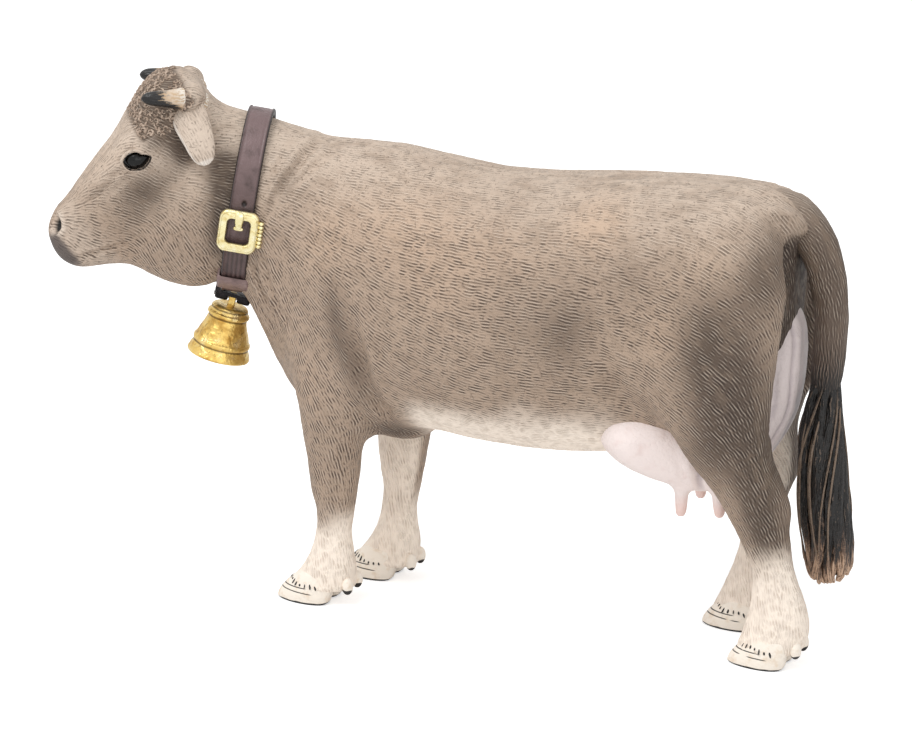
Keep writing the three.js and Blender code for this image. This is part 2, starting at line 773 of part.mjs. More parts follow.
function collarLoop(grow, offset) {
  return ring(
    {
      centre: collarCentre.clone().addScaledVector(collarAxis, offset),
      side: collarSpine.left,
      up: collarUp,
      half: neck.half + grow,
      rise: neck.rise + grow,
      drop: neck.drop + grow,
    },
    counts.strap,
  );
}
function bandSolid(inner, outer, width) {
  return toSolid(
    loft(
      [
        collarLoop(inner, -width / 2),
        collarLoop(inner, width / 2),
        collarLoop(outer, width / 2),
        collarLoop(outer, -width / 2),
      ],
      { closed: true },
    ),
  );
}
function strapSolid(grow = 0) {
  return bandSolid(fit - grow, fit + strapThickness + grow, strapWidth + 2 * grow);
}

// A place on the outside of the strap: the frame's x runs along the strap's width, y along the
// strap and z outwards
function strapFrame(angle) {
  const reach = fit + strapThickness;
  const tall = Math.sin(angle) >= 0 ? neck.rise : neck.drop;
  const [c, s] = [Math.cos(angle), Math.sin(angle)];
  const place = collarCentre
    .clone()
    .addScaledVector(collarSpine.left, (neck.half + reach) * c)
    .addScaledVector(collarUp, (tall + reach) * s);
  const out = collarSpine.left
    .clone()
    .multiplyScalar(c / (neck.half + reach))
    .addScaledVector(collarUp, s / (tall + reach))
    .normalize();
  const along = new THREE.Vector3().crossVectors(out, collarAxis);
  return new THREE.Matrix4().makeBasis(collarAxis, along, out).setPosition(place);
}
const placed = (geometry, frame) => toSolid(geometry.clone().applyMatrix4(frame));

// Strap keeper: a sleeve round the strap, below the buckle
function keeperSolid(grow = 0) {
  const [gap, wall] = [runningFit, keeperThickness];
  const sleeve = bandSolid(
    fit - gap - wall - grow,
    fit + strapThickness + gap + wall + grow,
    strapWidth + 2 * (gap + wall + grow),
  );
  const depth = strapThickness + 4 * (gap + wall + grow) + overrun;
  const block = new THREE.BoxGeometry(strapWidth * 2, keeperLength + 2 * grow, depth);
  block.translate(0, 0, -strapThickness / 2);
  return sleeve.intersect(placed(block, strapFrame(keeperAngle)));
}

// Buckle
function roundedOutline(half, low, high, corner) {
  const outline = new THREE.Shape();
  outline.absarc(half - corner, high - corner, corner, 0, quarter);
  outline.absarc(corner - half, high - corner, corner, quarter, Math.PI);
  outline.absarc(corner - half, low + corner, corner, Math.PI, 3 * quarter);
  outline.absarc(half - corner, low + corner, corner, 3 * quarter, 4 * quarter);
  return outline;
}
function buckleFrame() {
  const outer = buckleSize / 2;
  const inner = outer - buckleBar;
  const outline = roundedOutline(outer, -outer, outer, buckleBar);
  outline.holes.push(roundedOutline(inner, -inner, inner, buckleBar));
  const bevel = buckleThickness * bevelShare;
  const frame = new THREE.ExtrudeGeometry(outline, {
    depth: buckleThickness - 2 * bevel,
    bevelSize: bevel,
    bevelThickness: bevel,
    bevelOffset: -bevel,
    bevelSegments: 1,
    curveSegments: 3,
  });
  frame.translate(0, 0, fit + bevel);
  return placed(frame, strapFrame(buckleAngle));
}
function buckleProng() {
  const [inside, half] = [fit + prongRadius, buckleSize / 2];
  const over = fit + buckleThickness + fit + prongRadius;
  const path = new THREE.CatmullRomCurve3(
    [
      [half, over],
      [half - buckleBar, over],
      [half - 2 * buckleBar, inside + buckleThickness / 2],
      [half - 3 * buckleBar, inside],
    ].map(([along, out]) => new THREE.Vector3(0, -along, out)),
  );
  const size = (t) => {
    const radius = prongRadius * (1 - prongTaperShare * t ** 3);
    return { half: radius, rise: radius };
  };
  const prong = tube(path, counts.round, counts.small, new THREE.Vector3(1, 0, 0), size);
  return placed(prong, strapFrame(buckleAngle));
}

// Bell frame: x along the pin, z up the bell, origin on the pin
const hingeAxis = rising(collarSpine.ahead, bellLean);
const bellUp = rising(collarSpine.ahead, quarter + bellLean);
const strapFoot = collarCentre
  .clone()
  .addScaledVector(collarUp, -(neck.drop + fit + strapThickness));
const hingePoint = strapFoot.clone().addScaledVector(bellUp, -(looseFit + hangerBlock / 2));
const bellFrame = new THREE.Matrix4()
  .makeBasis(hingeAxis, new THREE.Vector3().crossVectors(bellUp, hingeAxis), bellUp)
  .setPosition(hingePoint);

// Hanger: a loop round the strap with two cheeks that hold the pin
const hangerInside = strapWidth + 2 * looseFit;
const hangerOutside = hangerInside + 2 * hangerWall;
const hangerOpening = strapThickness + 2 * looseFit;
function plateSolid(outline, depth, curveSegments) {
  const plate = new THREE.ExtrudeGeometry(outline, { depth, bevelEnabled: false, curveSegments });
  plate.rotateX(quarter);
  plate.translate(0, depth / 2, 0);
  return toSolid(plate);
}
function hangerEnvelope(grow) {
  const half = hangerOutside / 2 + grow;
  const low = -hangerBlock / 2 - grow;
  const high = hangerBlock / 2 + hangerOpening + hangerWall + grow;
  return plateSolid(roundedOutline(half, low, high, hangerWall), hangerWidth + 2 * grow, 3);
}
function rodAlongX(radius, length) {
  const rod = new THREE.CylinderGeometry(radius, radius, length, counts.round);
  rod.rotateZ(quarter);
  return toSolid(rod);
}
function hangerSolid() {
  const [half, low] = [hangerInside / 2, hangerBlock / 2];
  const hole = new THREE.Shape([
    new THREE.Vector2(-half, low),
    new THREE.Vector2(half, low),
    new THREE.Vector2(half, low + hangerOpening),
    new THREE.Vector2(-half, low + hangerOpening),
  ]);
  const through = hangerWidth + 2 * overrun;
  const slot = new THREE.BoxGeometry(lugWidth + 2 * runningFit, through, hangerBlock + 2 * overrun);
  slot.translate(0, 0, -overrun);
  return hangerEnvelope(0)
    .subtract(plateSolid(hole, through))
    .subtract(toSolid(slot))
    .subtract(rodAlongX(pinRadius + runningFit, hangerOutside + 2 * overrun));
}

// Bell
const crownLevel = -(hangerBlock / 2 + crownGap);
function bellRadiusAt(depth) {
  const rows = bellShares.map(([radius, share]) => [share, radius]);
  const i = rows.findIndex(([share]) => share >= depth);
  const [from, to] = [rows[Math.max(i - 1, 0)], rows[i]];
  const t = to[0] === from[0] ? 0 : (depth - from[0]) / (to[0] - from[0]);
  return THREE.MathUtils.lerp(from[1], to[1], t) * bellMouthRadius;
}
function bellSolid() {
  const sized = ([radius, depth]) => [radius * bellMouthRadius, depth * bellHeight];
  const outside = bellShares.map(sized);
  const inside = bellInsideShares.map(sized).map(([radius, depth]) => [radius - bellWall, depth]);
  const [neckRadius] = inside[inside.length - 1];
  const roof = [[neckRadius * shoulderShare, bellWall], [0, bellWall]];
  const points = [[0, 0], ...outside, ...inside, ...roof].map(([radius, depth]) => {
    return new THREE.Vector2(radius, crownLevel - depth);
  });
  const shell = new THREE.LatheGeometry(points.reverse(), counts.bell);
  shell.rotateX(quarter);
  const lug = new THREE.Shape();
  lug.absarc(0, 0, lugRadius, 0, Math.PI);
  lug.lineTo(-lugRadius, crownLevel - bellWall / 2);
  lug.lineTo(lugRadius, crownLevel - bellWall / 2);
  const lugPlate = plateSolid(lug, lugWidth, counts.small).rotate([0, 0, 90]);
  const eye = rodAlongX(pinRadius + runningFit, lugWidth + 2 * overrun);
  const barLevel = crownLevel - clapperBarShare * bellHeight;
  const barLength = 2 * bellRadiusAt(clapperBarShare) - bellWall;
  const bar = rodAlongX(pinRadius, barLength).translate([0, 0, barLevel]);
  return joined([toSolid(shell), lugPlate.subtract(eye), bar]);
}
function clapperSolid() {
  const eyeRadius = pinRadius + runningFit + clapperWire;
  const eye = new THREE.TorusGeometry(eyeRadius, clapperWire, counts.small, counts.round);
  eye.rotateY(quarter);
  const drop = (clapperShare - clapperBarShare) * bellHeight;
  const start = Math.asin(clapperRodRadius / clapperRadius);
  const ball = Array.from({ length: counts.small }, (_, i) => {
    const angle = THREE.MathUtils.lerp(start, Math.PI, i / (counts.small - 1));
    const radius = i < counts.small - 1 ? clapperRadius * Math.sin(angle) : 0;
    return [radius, clapperRadius * Math.cos(angle) - drop];
  });
  const profile = [[0, -eyeRadius], [clapperRodRadius, -eyeRadius], ...ball];
  const points = profile.map(([radius, height]) => new THREE.Vector2(radius, height));
  const rod = new THREE.LatheGeometry(points.reverse(), counts.round);
  rod.rotateX(quarter);
  return joined([toSolid(eye), toSolid(rod)]);
}

// Cuts between the pieces
const inWorld = (solid) => solid.transform(bellFrame.elements);
const hangerRoom = inWorld(hangerEnvelope(fit));
const strapRoom = strapSolid(fit);
const keeperRoom = keeperSolid(fit);
const collarRoom = joined([strapRoom, keeperRoom, hangerRoom]);

// The head's plug goes into the neck
function plugSolid(grow = 0) {
  const from = collarReach - plugLength - grow;
  const to = collarReach + plugLength;
  const steps = counts.small;
  const rings = Array.from({ length: steps + 1 }, (_, i) => {
    const reach = THREE.MathUtils.lerp(from, to, i / steps);
    const row = rowAt(torsoShares, (reach + rumpReach) / torsoLength);
    return torsoRing(row, plugShare, grow);
  });
  return toSolid(loft(rings));
}

const figure = joined([torso, ...legs]);
function neckCut(offset) {
  return beyond(collarCentre.clone().addScaledVector(collarAxis, offset), collarAxis);
}
const trunk = figure
  .subtract(neckCut(-fit / 2))
  .subtract(plugSolid(fit))
  .subtract(collarRoom)
  .subtract(tailSolid(fit))
  .subtract(udderSolid(fit));

// Each half is the trunk on one side of the bent middle surface
function sideRoom(hand) {
  const offset = (hand * seam) / 2;
  const start = -rumpReach - 2 * overrun;
  const line = [];
  for (let reach = start; reach <= collarReach + bendLength; reach += bendLength / counts.bend) {
    const { x, y, left } = spineAt(reach);
    line.push(new THREE.Vector2(x - left.x * offset, y - left.y * offset));
  }
  const [first, last] = [line[0], line[line.length - 1]];
  const wide = hand * torsoLength;
  const corners = [new THREE.Vector2(last.x, wide), new THREE.Vector2(first.x, wide)];
  const outline = new THREE.Shape([...line, ...corners]);
  const room = new THREE.ExtrudeGeometry(outline, {
    depth: 2 * withersHeight,
    bevelEnabled: false,
  });
  room.translate(0, 0, -overrun);
  return toSolid(room);
}
function pegs(grow = 0) {
  return joined(
    pegShares.map(([back, height]) => {
      const radius = pegRadius + grow;
      const peg = new THREE.CylinderGeometry(radius, radius, pegLength + 2 * grow, counts.round);
      peg.translate(back * rumpReach, 0, height * withersHeight);
      return toSolid(peg);
    }),
  );
}
const bodyLeft = trunk.intersect(sideRoom(LEFT)).add(pegs());
const bodyRight = trunk.intersect(sideRoom(RIGHT)).subtract(pegs(fit / 2));

const hands = [
  ["left", LEFT],
  ["right", RIGHT],
];
const neckAndPlug = torso.intersect(neckCut(fit / 2)).add(plugSolid());
const head = joined([skull(), neckAndPlug, ...hands.map(([, hand]) => brow(hand))])
  .subtract(collarRoom)
  .subtract(joined(hands.flatMap(([, hand]) => [eye(hand, fit), nostril(hand)])))
  .subtract(joined(hands.flatMap(([, hand]) => [hornSolid(hand, fit), earSolid(hand, fit)])));

// Pieces
const cow = new THREE.Group();
cow.add(toMesh("body_left", bodyLeft, hide));
cow.add(toMesh("body_right", bodyRight, hide));
cow.add(toMesh("head", head, hide));
hands.forEach(([name, hand]) => {
  cow.add(toMesh(`eye_${name}`, eye(hand), eyeBlack));
  cow.add(toMesh(`horn_${name}`, hornSolid(hand), horn));
  cow.add(toMesh(`ear_${name}`, earSolid(hand).subtract(hornSolid(hand, fit)), hide));
});
cow.add(toMesh("tail", tailSolid(), darkHair));
const teats = hands.flatMap(([, hand]) => teatShares.map((place) => teat(place, hand)));
cow.add(toMesh("udder", joined([udderSolid(), ...teats]), skin));
cow.add(toMesh("collar_strap", strapSolid(), strapBrown));
cow.add(toMesh("strap_keeper", keeperSolid().subtract(strapSolid(runningFit)), strapBrown));
cow.add(toMesh("buckle_frame", buckleFrame(), brass));
cow.add(toMesh("buckle_prong", buckleProng(), brass));

const bellSet = new THREE.Group();
bellSet.applyMatrix4(bellFrame);
bellSet.add(toMesh("bell_hanger", hangerSolid(), blackened));
bellSet.add(toMesh("bell_pin", rodAlongX(pinRadius, hangerOutside), steel));
bellSet.add(toMesh("bell", bellSolid(), gilt));
const clapper = toMesh("bell_clapper", clapperSolid(), steel);
clapper.position.z = crownLevel - clapperBarShare * bellHeight;
bellSet.add(clapper);
cow.add(bellSet);

// The origin lies on the ground under the middle of the whole figure
const middle = new THREE.Box3().setFromObject(cow, true).getCenter(new THREE.Vector3());
cow.position.set(-middle.x, -middle.y, 0);

export default cow;
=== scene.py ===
# A toy dairy cow with a buckled collar and a swinging bell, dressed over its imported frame.
# Shapes are worked out in millimetres in the sculptor's frame: the spine's straight part lies on
# y = 0, the head is towards -x, the animal's left towards -y, and the hooves stand on z = 0.
import itertools
import json
import math

import bmesh
import bpy
import numpy as np
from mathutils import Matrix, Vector
from mathutils.bvhtree import BVHTree


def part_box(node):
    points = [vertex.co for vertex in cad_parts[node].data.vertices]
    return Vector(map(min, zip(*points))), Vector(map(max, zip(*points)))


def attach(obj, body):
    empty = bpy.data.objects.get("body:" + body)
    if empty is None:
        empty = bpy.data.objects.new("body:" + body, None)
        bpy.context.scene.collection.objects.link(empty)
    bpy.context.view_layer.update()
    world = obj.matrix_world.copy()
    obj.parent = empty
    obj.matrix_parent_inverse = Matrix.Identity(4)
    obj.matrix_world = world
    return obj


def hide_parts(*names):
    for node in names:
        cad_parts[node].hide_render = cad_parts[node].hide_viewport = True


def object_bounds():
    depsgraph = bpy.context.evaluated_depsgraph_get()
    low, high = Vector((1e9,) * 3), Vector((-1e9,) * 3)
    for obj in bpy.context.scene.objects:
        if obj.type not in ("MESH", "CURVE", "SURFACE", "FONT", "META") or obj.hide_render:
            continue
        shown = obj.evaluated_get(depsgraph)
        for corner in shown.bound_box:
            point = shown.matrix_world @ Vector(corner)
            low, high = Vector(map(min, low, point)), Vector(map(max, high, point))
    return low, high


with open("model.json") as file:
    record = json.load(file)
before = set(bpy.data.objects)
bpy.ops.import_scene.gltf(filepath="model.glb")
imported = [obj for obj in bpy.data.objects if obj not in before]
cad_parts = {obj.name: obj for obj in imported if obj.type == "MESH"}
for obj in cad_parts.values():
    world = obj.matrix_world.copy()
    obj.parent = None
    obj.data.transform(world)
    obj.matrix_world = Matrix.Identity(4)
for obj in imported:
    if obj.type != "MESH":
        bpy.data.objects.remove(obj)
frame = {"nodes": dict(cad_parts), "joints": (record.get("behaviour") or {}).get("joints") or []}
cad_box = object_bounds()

MM = 0.001
UP, FORWARD = np.array([0.0, 0.0, 1.0]), np.array([-1.0, 0.0, 0.0])
RIGHTWARD = np.array([0.0, 1.0, 0.0])

# Sizes in millimetres
WITHERS = 77.4
BARREL_HALF = 20.0
RUMP = 61.0
TORSO = 120.0
BEND_START, BEND_LENGTH, BEND_TURN = 12.0, 35.0, math.radians(28)
FORE, HIND = 18.0, 56.0
FORE_STEP, HIND_STEP = 5.0, 9.4
FORE_GIRTH, HIND_GIRTH = 10.0, 20.0
TRACK_HALF, HOOF_HALF = 7.6, 4.5
HEAD_REACH, HEAD_HEIGHT, HEAD_PITCH = 48.6, 72.0, math.radians(38)
HEAD_LENGTH, HEAD_DEPTH, HEAD_HALF = 36.4, 27.0, 8.8
COLLAR_REACH, COLLAR_LEAN = 36.0, math.radians(9.2)
TAIL_REACH, TAIL_RADIUS = 65.0, 2.6
UDDER_REACH, UDDER_LENGTH, UDDER_HALF = 27.5, 32.0, 8.6
BODY_VOXEL, HEAD_VOXEL, UDDER_VOXEL = 0.74, 0.42, 0.3  # size of a face before it is cut into four
BODY_BLEND, HEAD_BLEND, UDDER_BLEND = 2.6, 1.5, 1.1  # how far joined forms flow into each other
BLEND_WEIGHT, BLEND_ROUNDS = 0.85, 40  # how strongly they are drawn together, and how often
TUFT_CELL = 0.95  # width of a moulded tuft of hair
TUFT_DEPTH, TUFT_REACH = 0.07, 1.7  # how high it stands, and how far it is drawn out
FURROW, FURROW_LENGTH = 0.5, 1.2  # from one furrow of the hide to the next, and how long they run
LEFT, RIGHT = -1, 1

# Where the sculptor's frame lies in the row's frame, from the udder, which is centred on it
udder_low, udder_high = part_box("udder")
SHIFT = np.array([udder_low.x / MM - UDDER_REACH, (udder_low.y + udder_high.y) / 2 / MM, 0.0])

# Trunk and neck: reach as a share of TORSO from the rump, then top, bottom and widest height as
# shares of WITHERS, half width as a share of BARREL_HALF, roundness above and below
TORSO_SHARES = [
    [0, 0.904, 0.724, 0.827, 0.125, 2, 2],
    [0.008, 0.941, 0.646, 0.82, 0.325, 2, 2],
    [0.033, 0.972, 0.568, 0.814, 0.525, 2.1, 2],
    [0.075, 0.988, 0.504, 0.807, 0.675, 2.2, 2],
    [0.133, 0.99, 0.446, 0.801, 0.78, 2.3, 2],
    [0.208, 0.986, 0.411, 0.775, 0.87, 2.2, 2.1],
    [0.283, 0.981, 0.393, 0.724, 0.94, 2.1, 2.2],
    [0.367, 0.972, 0.385, 0.678, 1, 2, 2.2],
    [0.45, 0.97, 0.39, 0.665, 1, 2, 2.2],
    [0.533, 0.986, 0.398, 0.672, 0.96, 1.9, 2.2],
    [0.592, 1.001, 0.373, 0.685, 0.89, 1.8, 2.2],
    [0.642, 1.003, 0.367, 0.698, 0.82, 1.8, 2.1],
    [0.683, 1.004, 0.377, 0.711, 0.75, 1.8, 2.1],
    [0.717, 1.014, 0.406, 0.743, 0.68, 1.8, 2],
    [0.75, 1.028, 0.465, 0.782, 0.605, 1.9, 2],
    [0.779, 1.041, 0.55, 0.82, 0.545, 2, 2],
    [0.808, 1.052, 0.643, 0.853, 0.495, 2, 2],
    [0.829, 1.062, 0.676, 0.866, 0.48, 2, 2],
    [0.85, 1.074, 0.683, 0.872, 0.47, 2, 2],
    [0.875, 1.074, 0.672, 0.866, 0.46, 2, 2],
    [0.908, 1.034, 0.678, 0.859, 0.42, 2, 2],
    [0.942, 0.969, 0.698, 0.84, 0.34, 2, 2],
    [0.975, 0.879, 0.726, 0.807, 0.23, 2, 2],
    [1, 0.814, 0.744, 0.782, 0.125, 2, 2],
]
# Legs: height as a share of WITHERS, reach forward and back as shares of the leg's girth,
# distance from the middle as a share of TRACK_HALF, half width as a share of HOOF_HALF
FORE_LEG_SHARES = [
    [0, 0.92, 0.22, 1, 0.911],
    [0.013, 0.99, 0.27, 1, 1],
    [0.039, 0.87, 0.29, 1, 0.978],
    [0.059, 0.74, 0.3, 1.013, 0.867],
    [0.084, 0.59, 0.31, 1.026, 0.822],
    [0.116, 0.46, 0.27, 1.039, 0.711],
    [0.161, 0.37, 0.24, 1.066, 0.622],
    [0.207, 0.33, 0.31, 1.092, 0.689],
    [0.252, 0.39, 0.37, 1.132, 0.822],
    [0.297, 0.43, 0.43, 1.171, 0.889],
    [0.349, 0.45, 0.49, 1.224, 0.956],
    [0.401, 0.5, 0.58, 1.289, 1.111],
    [0.452, 0.53, 0.83, 1.342, 1.267],
    [0.53, 0.67, 1.05, 1.329, 1.378],
    [0.633, 0.78, 1.05, 1.25, 1.378],
    [0.749, 0.6, 0.7, 1.053, 0.8],
    [0.827, 0.2, 0.3, 0.921, 0.444],
]
HIND_LEG_SHARES = [
    [0, 0.21, 0.25, 1, 0.889],
    [0.013, 0.23, 0.3, 1, 1],
    [0.039, 0.195, 0.34, 1, 0.978],
    [0.062, 0.16, 0.38, 1, 0.889],
    [0.09, 0.13, 0.395, 1.013, 0.822],
    [0.136, 0.09, 0.36, 1.026, 0.711],
    [0.187, 0.07, 0.285, 1.053, 0.644],
    [0.239, 0.13, 0.24, 1.079, 0.689],
    [0.291, 0.215, 0.22, 1.132, 0.822],
    [0.342, 0.33, 0.235, 1.197, 0.956],
    [0.394, 0.46, 0.17, 1.276, 1.089],
    [0.446, 0.6, 0.09, 1.355, 1.244],
    [0.504, 0.75, 0.075, 1.421, 1.444],
    [0.568, 0.95, 0.1, 1.447, 1.556],
    [0.646, 1.175, 0.13, 1.447, 1.578],
    [0.736, 1.3, 0.18, 1.395, 1.511],
    [0.827, 1.25, 0.16, 1.289, 1.333],
    [0.917, 1, 0.025, 1.118, 0.956],
    [0.969, 0.7, -0.25, 0.921, 0.444],
]
LEAN_POWER = 1.5
FORE_HIP_SHARE, HIND_HIP_SHARE = 2.0, 0.54
# Skull: place along the face as a share of HEAD_LENGTH, then top, bottom and widest level as
# shares of HEAD_DEPTH, half width as a share of HEAD_HALF, roundness above and below
SKULL_SHARES = [
    [-0.357, 0.363, 0.148, 0.259, 0.232, 2, 2],
    [-0.338, 0.437, 0, 0.222, 0.505, 2, 2],
    [-0.275, 0.511, -0.148, 0.222, 0.758, 2.2, 2],
    [-0.192, 0.53, -0.296, 0.204, 0.916, 2.3, 2],
    [-0.082, 0.493, -0.389, 0.185, 0.979, 2.4, 2],
    [0.027, 0.426, -0.463, 0.167, 1, 2.4, 2],
    [0.11, 0.381, -0.481, 0.156, 0.968, 2.5, 2],
    [0.22, 0.348, -0.467, 0.111, 0.821, 2.4, 2],
    [0.33, 0.311, -0.407, 0.074, 0.674, 2.3, 2],
    [0.426, 0.274, -0.307, 0.044, 0.579, 2.3, 2.1],
    [0.508, 0.252, -0.207, 0.03, 0.558, 2.3, 2.2],
    [0.571, 0.215, -0.156, 0.026, 0.547, 2.3, 2.2],
    [0.615, 0.163, -0.1, 0.026, 0.463, 2.2, 2.2],
    [0.64, 0.081, -0.033, 0.022, 0.274, 2, 2],
]


# Tables and curves
def rows_at(rows, stations):
    """Rows of a table at stations between its keys, on a smooth curve."""
    rows = np.asarray(rows, float)
    stations = np.atleast_1d(np.asarray(stations, float))
    last = len(rows) - 1
    i = np.clip(np.searchsorted(rows[:, 0], stations, side="right") - 1, 0, last - 1)
    low, high = rows[i], rows[i + 1]
    before, after = rows[np.maximum(i - 1, 0)], rows[np.minimum(i + 2, last)]
    span = high[:, :1] - low[:, :1]
    t = (stations[:, None] - low[:, :1]) / span
    start = (high - before) / (high[:, :1] - before[:, :1]) * span
    end = (after - low) / (after[:, :1] - low[:, :1]) * span
    rise = high - low
    return low + t * (start + t * (3 * rise - 2 * start - end + t * (start + end - 2 * rise)))


def smooth_step(value, low, high):
    t = np.clip((value - low) / (high - low), 0, 1)
    return t * t * (3 - 2 * t)


def within(value, rise, fall):
    """1 between two ranges: it rises over the first and falls over the second."""
    return smooth_step(value, *rise) * (1 - smooth_step(value, *fall))


def unit(vectors):
    return vectors / np.maximum(np.linalg.norm(vectors, axis=-1, keepdims=True), 1e-9)


def full_turn(count):
    """Angles all the way round."""
    return np.linspace(0, 2 * math.pi, count, endpoint=False)


def squared(value, power):
    """A sine or cosine raised to a power with its sign kept, for rings between round and square."""
    return np.sign(value) * np.abs(value) ** power


def capped(values, sides):
    """A value for each ring, repeated round it and given to the middles of the two end caps."""
    return np.concatenate([np.repeat(values, sides, axis=0), values[:1], values[-1:]])


def bump(value, width):
    """A soft hump: 1 at zero, falling away on both sides."""
    return np.exp(-((value / width) ** 2))


def spine_at(reach):
    """Place and directions on the spine at distances ahead of the middle of the barrel."""
    reach = np.atleast_1d(np.asarray(reach, float))
    radius = BEND_LENGTH / BEND_TURN
    angle = np.clip((reach - BEND_START) / BEND_LENGTH, 0, 1) * BEND_TURN
    beyond = np.maximum(reach - BEND_START - BEND_LENGTH, 0)
    c, s, zero = np.cos(angle), np.sin(angle), np.zeros_like(reach)
    x = -np.minimum(reach, BEND_START) - radius * s - beyond * c
    y = -radius * (1 - c) - beyond * s
    place = np.stack([x, y, zero], 1)
    return place, np.stack([-c, -s, zero], 1), np.stack([s, -c, zero], 1)


def spine_coords(points):
    """Distance ahead along the spine and distance to the left of it."""
    radius = BEND_LENGTH / BEND_TURN
    dx, dy = points[:, 0] + BEND_START, points[:, 1] + radius
    turn = np.clip(np.arctan2(-dx, dy), 0, BEND_TURN)
    place, ahead, left = spine_at(BEND_START + turn * radius)
    straight = np.where(-dx > 0, 0.0, -dx)
    rest = points - place
    along = (rest[:, :2] * ahead[:, :2]).sum(1)
    across = (rest[:, :2] * left[:, :2]).sum(1)
    bent = (turn > 0) & (turn < BEND_TURN)
    reach = BEND_START + turn * radius + np.where(bent, 0.0, along)
    return np.where(-dx > 0, reach, BEND_START + straight), across


def row_place(points):
    """Millimetres in the sculptor's frame to metres in the row's frame."""
    return (np.asarray(points) + SHIFT) * MM


# Mesh making
def rings_of(centre, side, up, half, rise, drop, above, below, sides):
    """Closed rings with their own reach sideways, up and down, and their own roundness."""
    half, rise, drop, above, below = (
        np.broadcast_to(value, len(centre))[:, None] for value in (half, rise, drop, above, below)
    )
    side, up = (np.broadcast_to(value, centre.shape) for value in (side, up))
    angle = full_turn(sides)[None, :]
    c, s = np.cos(angle), np.sin(angle)
    power = 2 / np.where(s >= 0, above, below)
    across = half * squared(c, power)
    height = np.where(s >= 0, rise, drop) * squared(s, power)
    return centre[:, None] + across[..., None] * side[:, None] + height[..., None] * up[:, None]


def loft(rings, closed=False):
    """A skin over rings, capped at both ends, or closed on itself, with its faces outwards."""
    count, sides = rings.shape[:2]
    points = rings.reshape(-1, 3)
    bands = count if closed else count - 1
    r = np.arange(bands)[:, None]
    i = np.arange(sides)[None, :]
    near, far, nxt = r * sides, ((r + 1) % count) * sides, (i + 1) % sides
    quads = np.stack([near + i, near + nxt, far + nxt, far + i], -1).reshape(-1, 4)
    faces = quads.tolist()
    if not closed:
        points = np.vstack([points, rings[0].mean(0), rings[-1].mean(0)])
        base = (count - 1) * sides
        for k in range(sides):
            following = (k + 1) % sides
            faces.append([len(points) - 2, following, k])
            faces.append([len(points) - 1, base + k, base + following])
    a, b, c = (points[quads[:, k]] for k in range(3))
    if (a * np.cross(b, c)).sum() + (a * np.cross(c, points[quads[:, 3]])).sum() < 0:
        faces = [face[::-1] for face in faces]
    return points, faces


def tube(path, side, up, radius, sides, closed=False):
    """A round rod along a path, as thick as its radius says at each point."""
    return loft(rings_of(path, side, up, radius, radius, radius, 2, 2, sides), closed)


def merged(parts):
    points, faces, offset = [], [], 0
    for part_points, part_faces in parts:
        points.append(part_points)
        faces += [[index + offset for index in face] for face in part_faces]
        offset += len(part_points)
    return np.vstack(points), faces


def new_object(name, points, faces, edges=(), **tones):
    """A mesh object in the row's frame, from points in millimetres in the sculptor's frame.

    A tone is a value, or a direction, at each point, stored for the material to read.
    """
    mesh = bpy.data.meshes.new(name)
    mesh.from_pydata(row_place(points), edges, faces)
    mesh.update()
    for key, values in tones.items():
        values = np.asarray(values, np.float32)
        kind, field = ("FLOAT_VECTOR", "vector") if values.ndim == 2 else ("FLOAT", "value")
        mesh.attributes.new(key, kind, "POINT").data.foreach_set(field, values.ravel())
    piece = bpy.data.objects.new(name, mesh)
    bpy.context.scene.collection.objects.link(piece)
    return piece


def bake_modifiers(piece):
    """Replaces a piece's mesh by what its modifiers make of it, and removes them."""
    bpy.context.view_layer.update()
    graph = bpy.context.evaluated_depsgraph_get()
    mesh = bpy.data.meshes.new_from_object(piece.evaluated_get(graph))
    piece.modifiers.clear()
    old, piece.data = piece.data, mesh
    bpy.data.meshes.remove(old)
    mesh.name = piece.name
    return piece


def remeshed(parts, voxel):
    """Closed shells joined to one even skin of four-sided faces, as (points, quads)."""
    piece = new_object("blank", *merged(parts))
    modifier = piece.modifiers.new("Remesh", "REMESH")
    modifier.mode = "VOXEL"
    modifier.voxel_size = voxel * MM
    bake_modifiers(piece)
    return take_points(piece)


def take_points(piece):
    mesh = piece.data
    points = np.empty(len(mesh.vertices) * 3)
    mesh.vertices.foreach_get("co", points)
    quads = np.empty(len(mesh.loops), np.int64)
    mesh.loops.foreach_get("vertex_index", quads)
    bpy.data.objects.remove(piece)
    bpy.data.meshes.remove(mesh)
    return points.reshape(-1, 3) / MM - SHIFT, quads.reshape(-1, 4)


def finer(points, quads):
    """The skin with each face cut into four, on a subdivision surface."""
    piece = new_object("blank", points, quads)
    modifier = piece.modifiers.new("Subdivision", "SUBSURF")
    modifier.levels = modifier.render_levels = 1
    bake_modifiers(piece)
    return take_points(piece)


def edges_of(quads):
    pairs = np.concatenate([quads[:, [0, 1]], quads[:, [1, 2]], quads[:, [2, 3]], quads[:, [3, 0]]])
    return np.unique(np.sort(pairs, 1), axis=0)


def relaxed(points, edges, weight, rounds):
    """Each point drawn towards the mean of its neighbours, by one weight or each by its own."""
    count = len(points)
    weight = np.broadcast_to(weight, count)[:, None]
    degree = np.bincount(edges.ravel(), minlength=count)[:, None]
    start, end = edges.T
    for _ in range(rounds):
        total = [
            np.bincount(start, points[end, k], count) + np.bincount(end, points[start, k], count)
            for k in range(3)
        ]
        points = points + weight * (np.stack(total, 1) / degree - points)
    return points


def normals_of(points, quads):
    a, b, c, d = (points[quads[:, k]] for k in range(4))
    face = np.cross(c - a, d - b)
    total = np.zeros_like(points)
    for k in range(4):
        for axis in range(3):
            total[:, axis] += np.bincount(quads[:, k], face[:, axis], len(points))
    return unit(total)


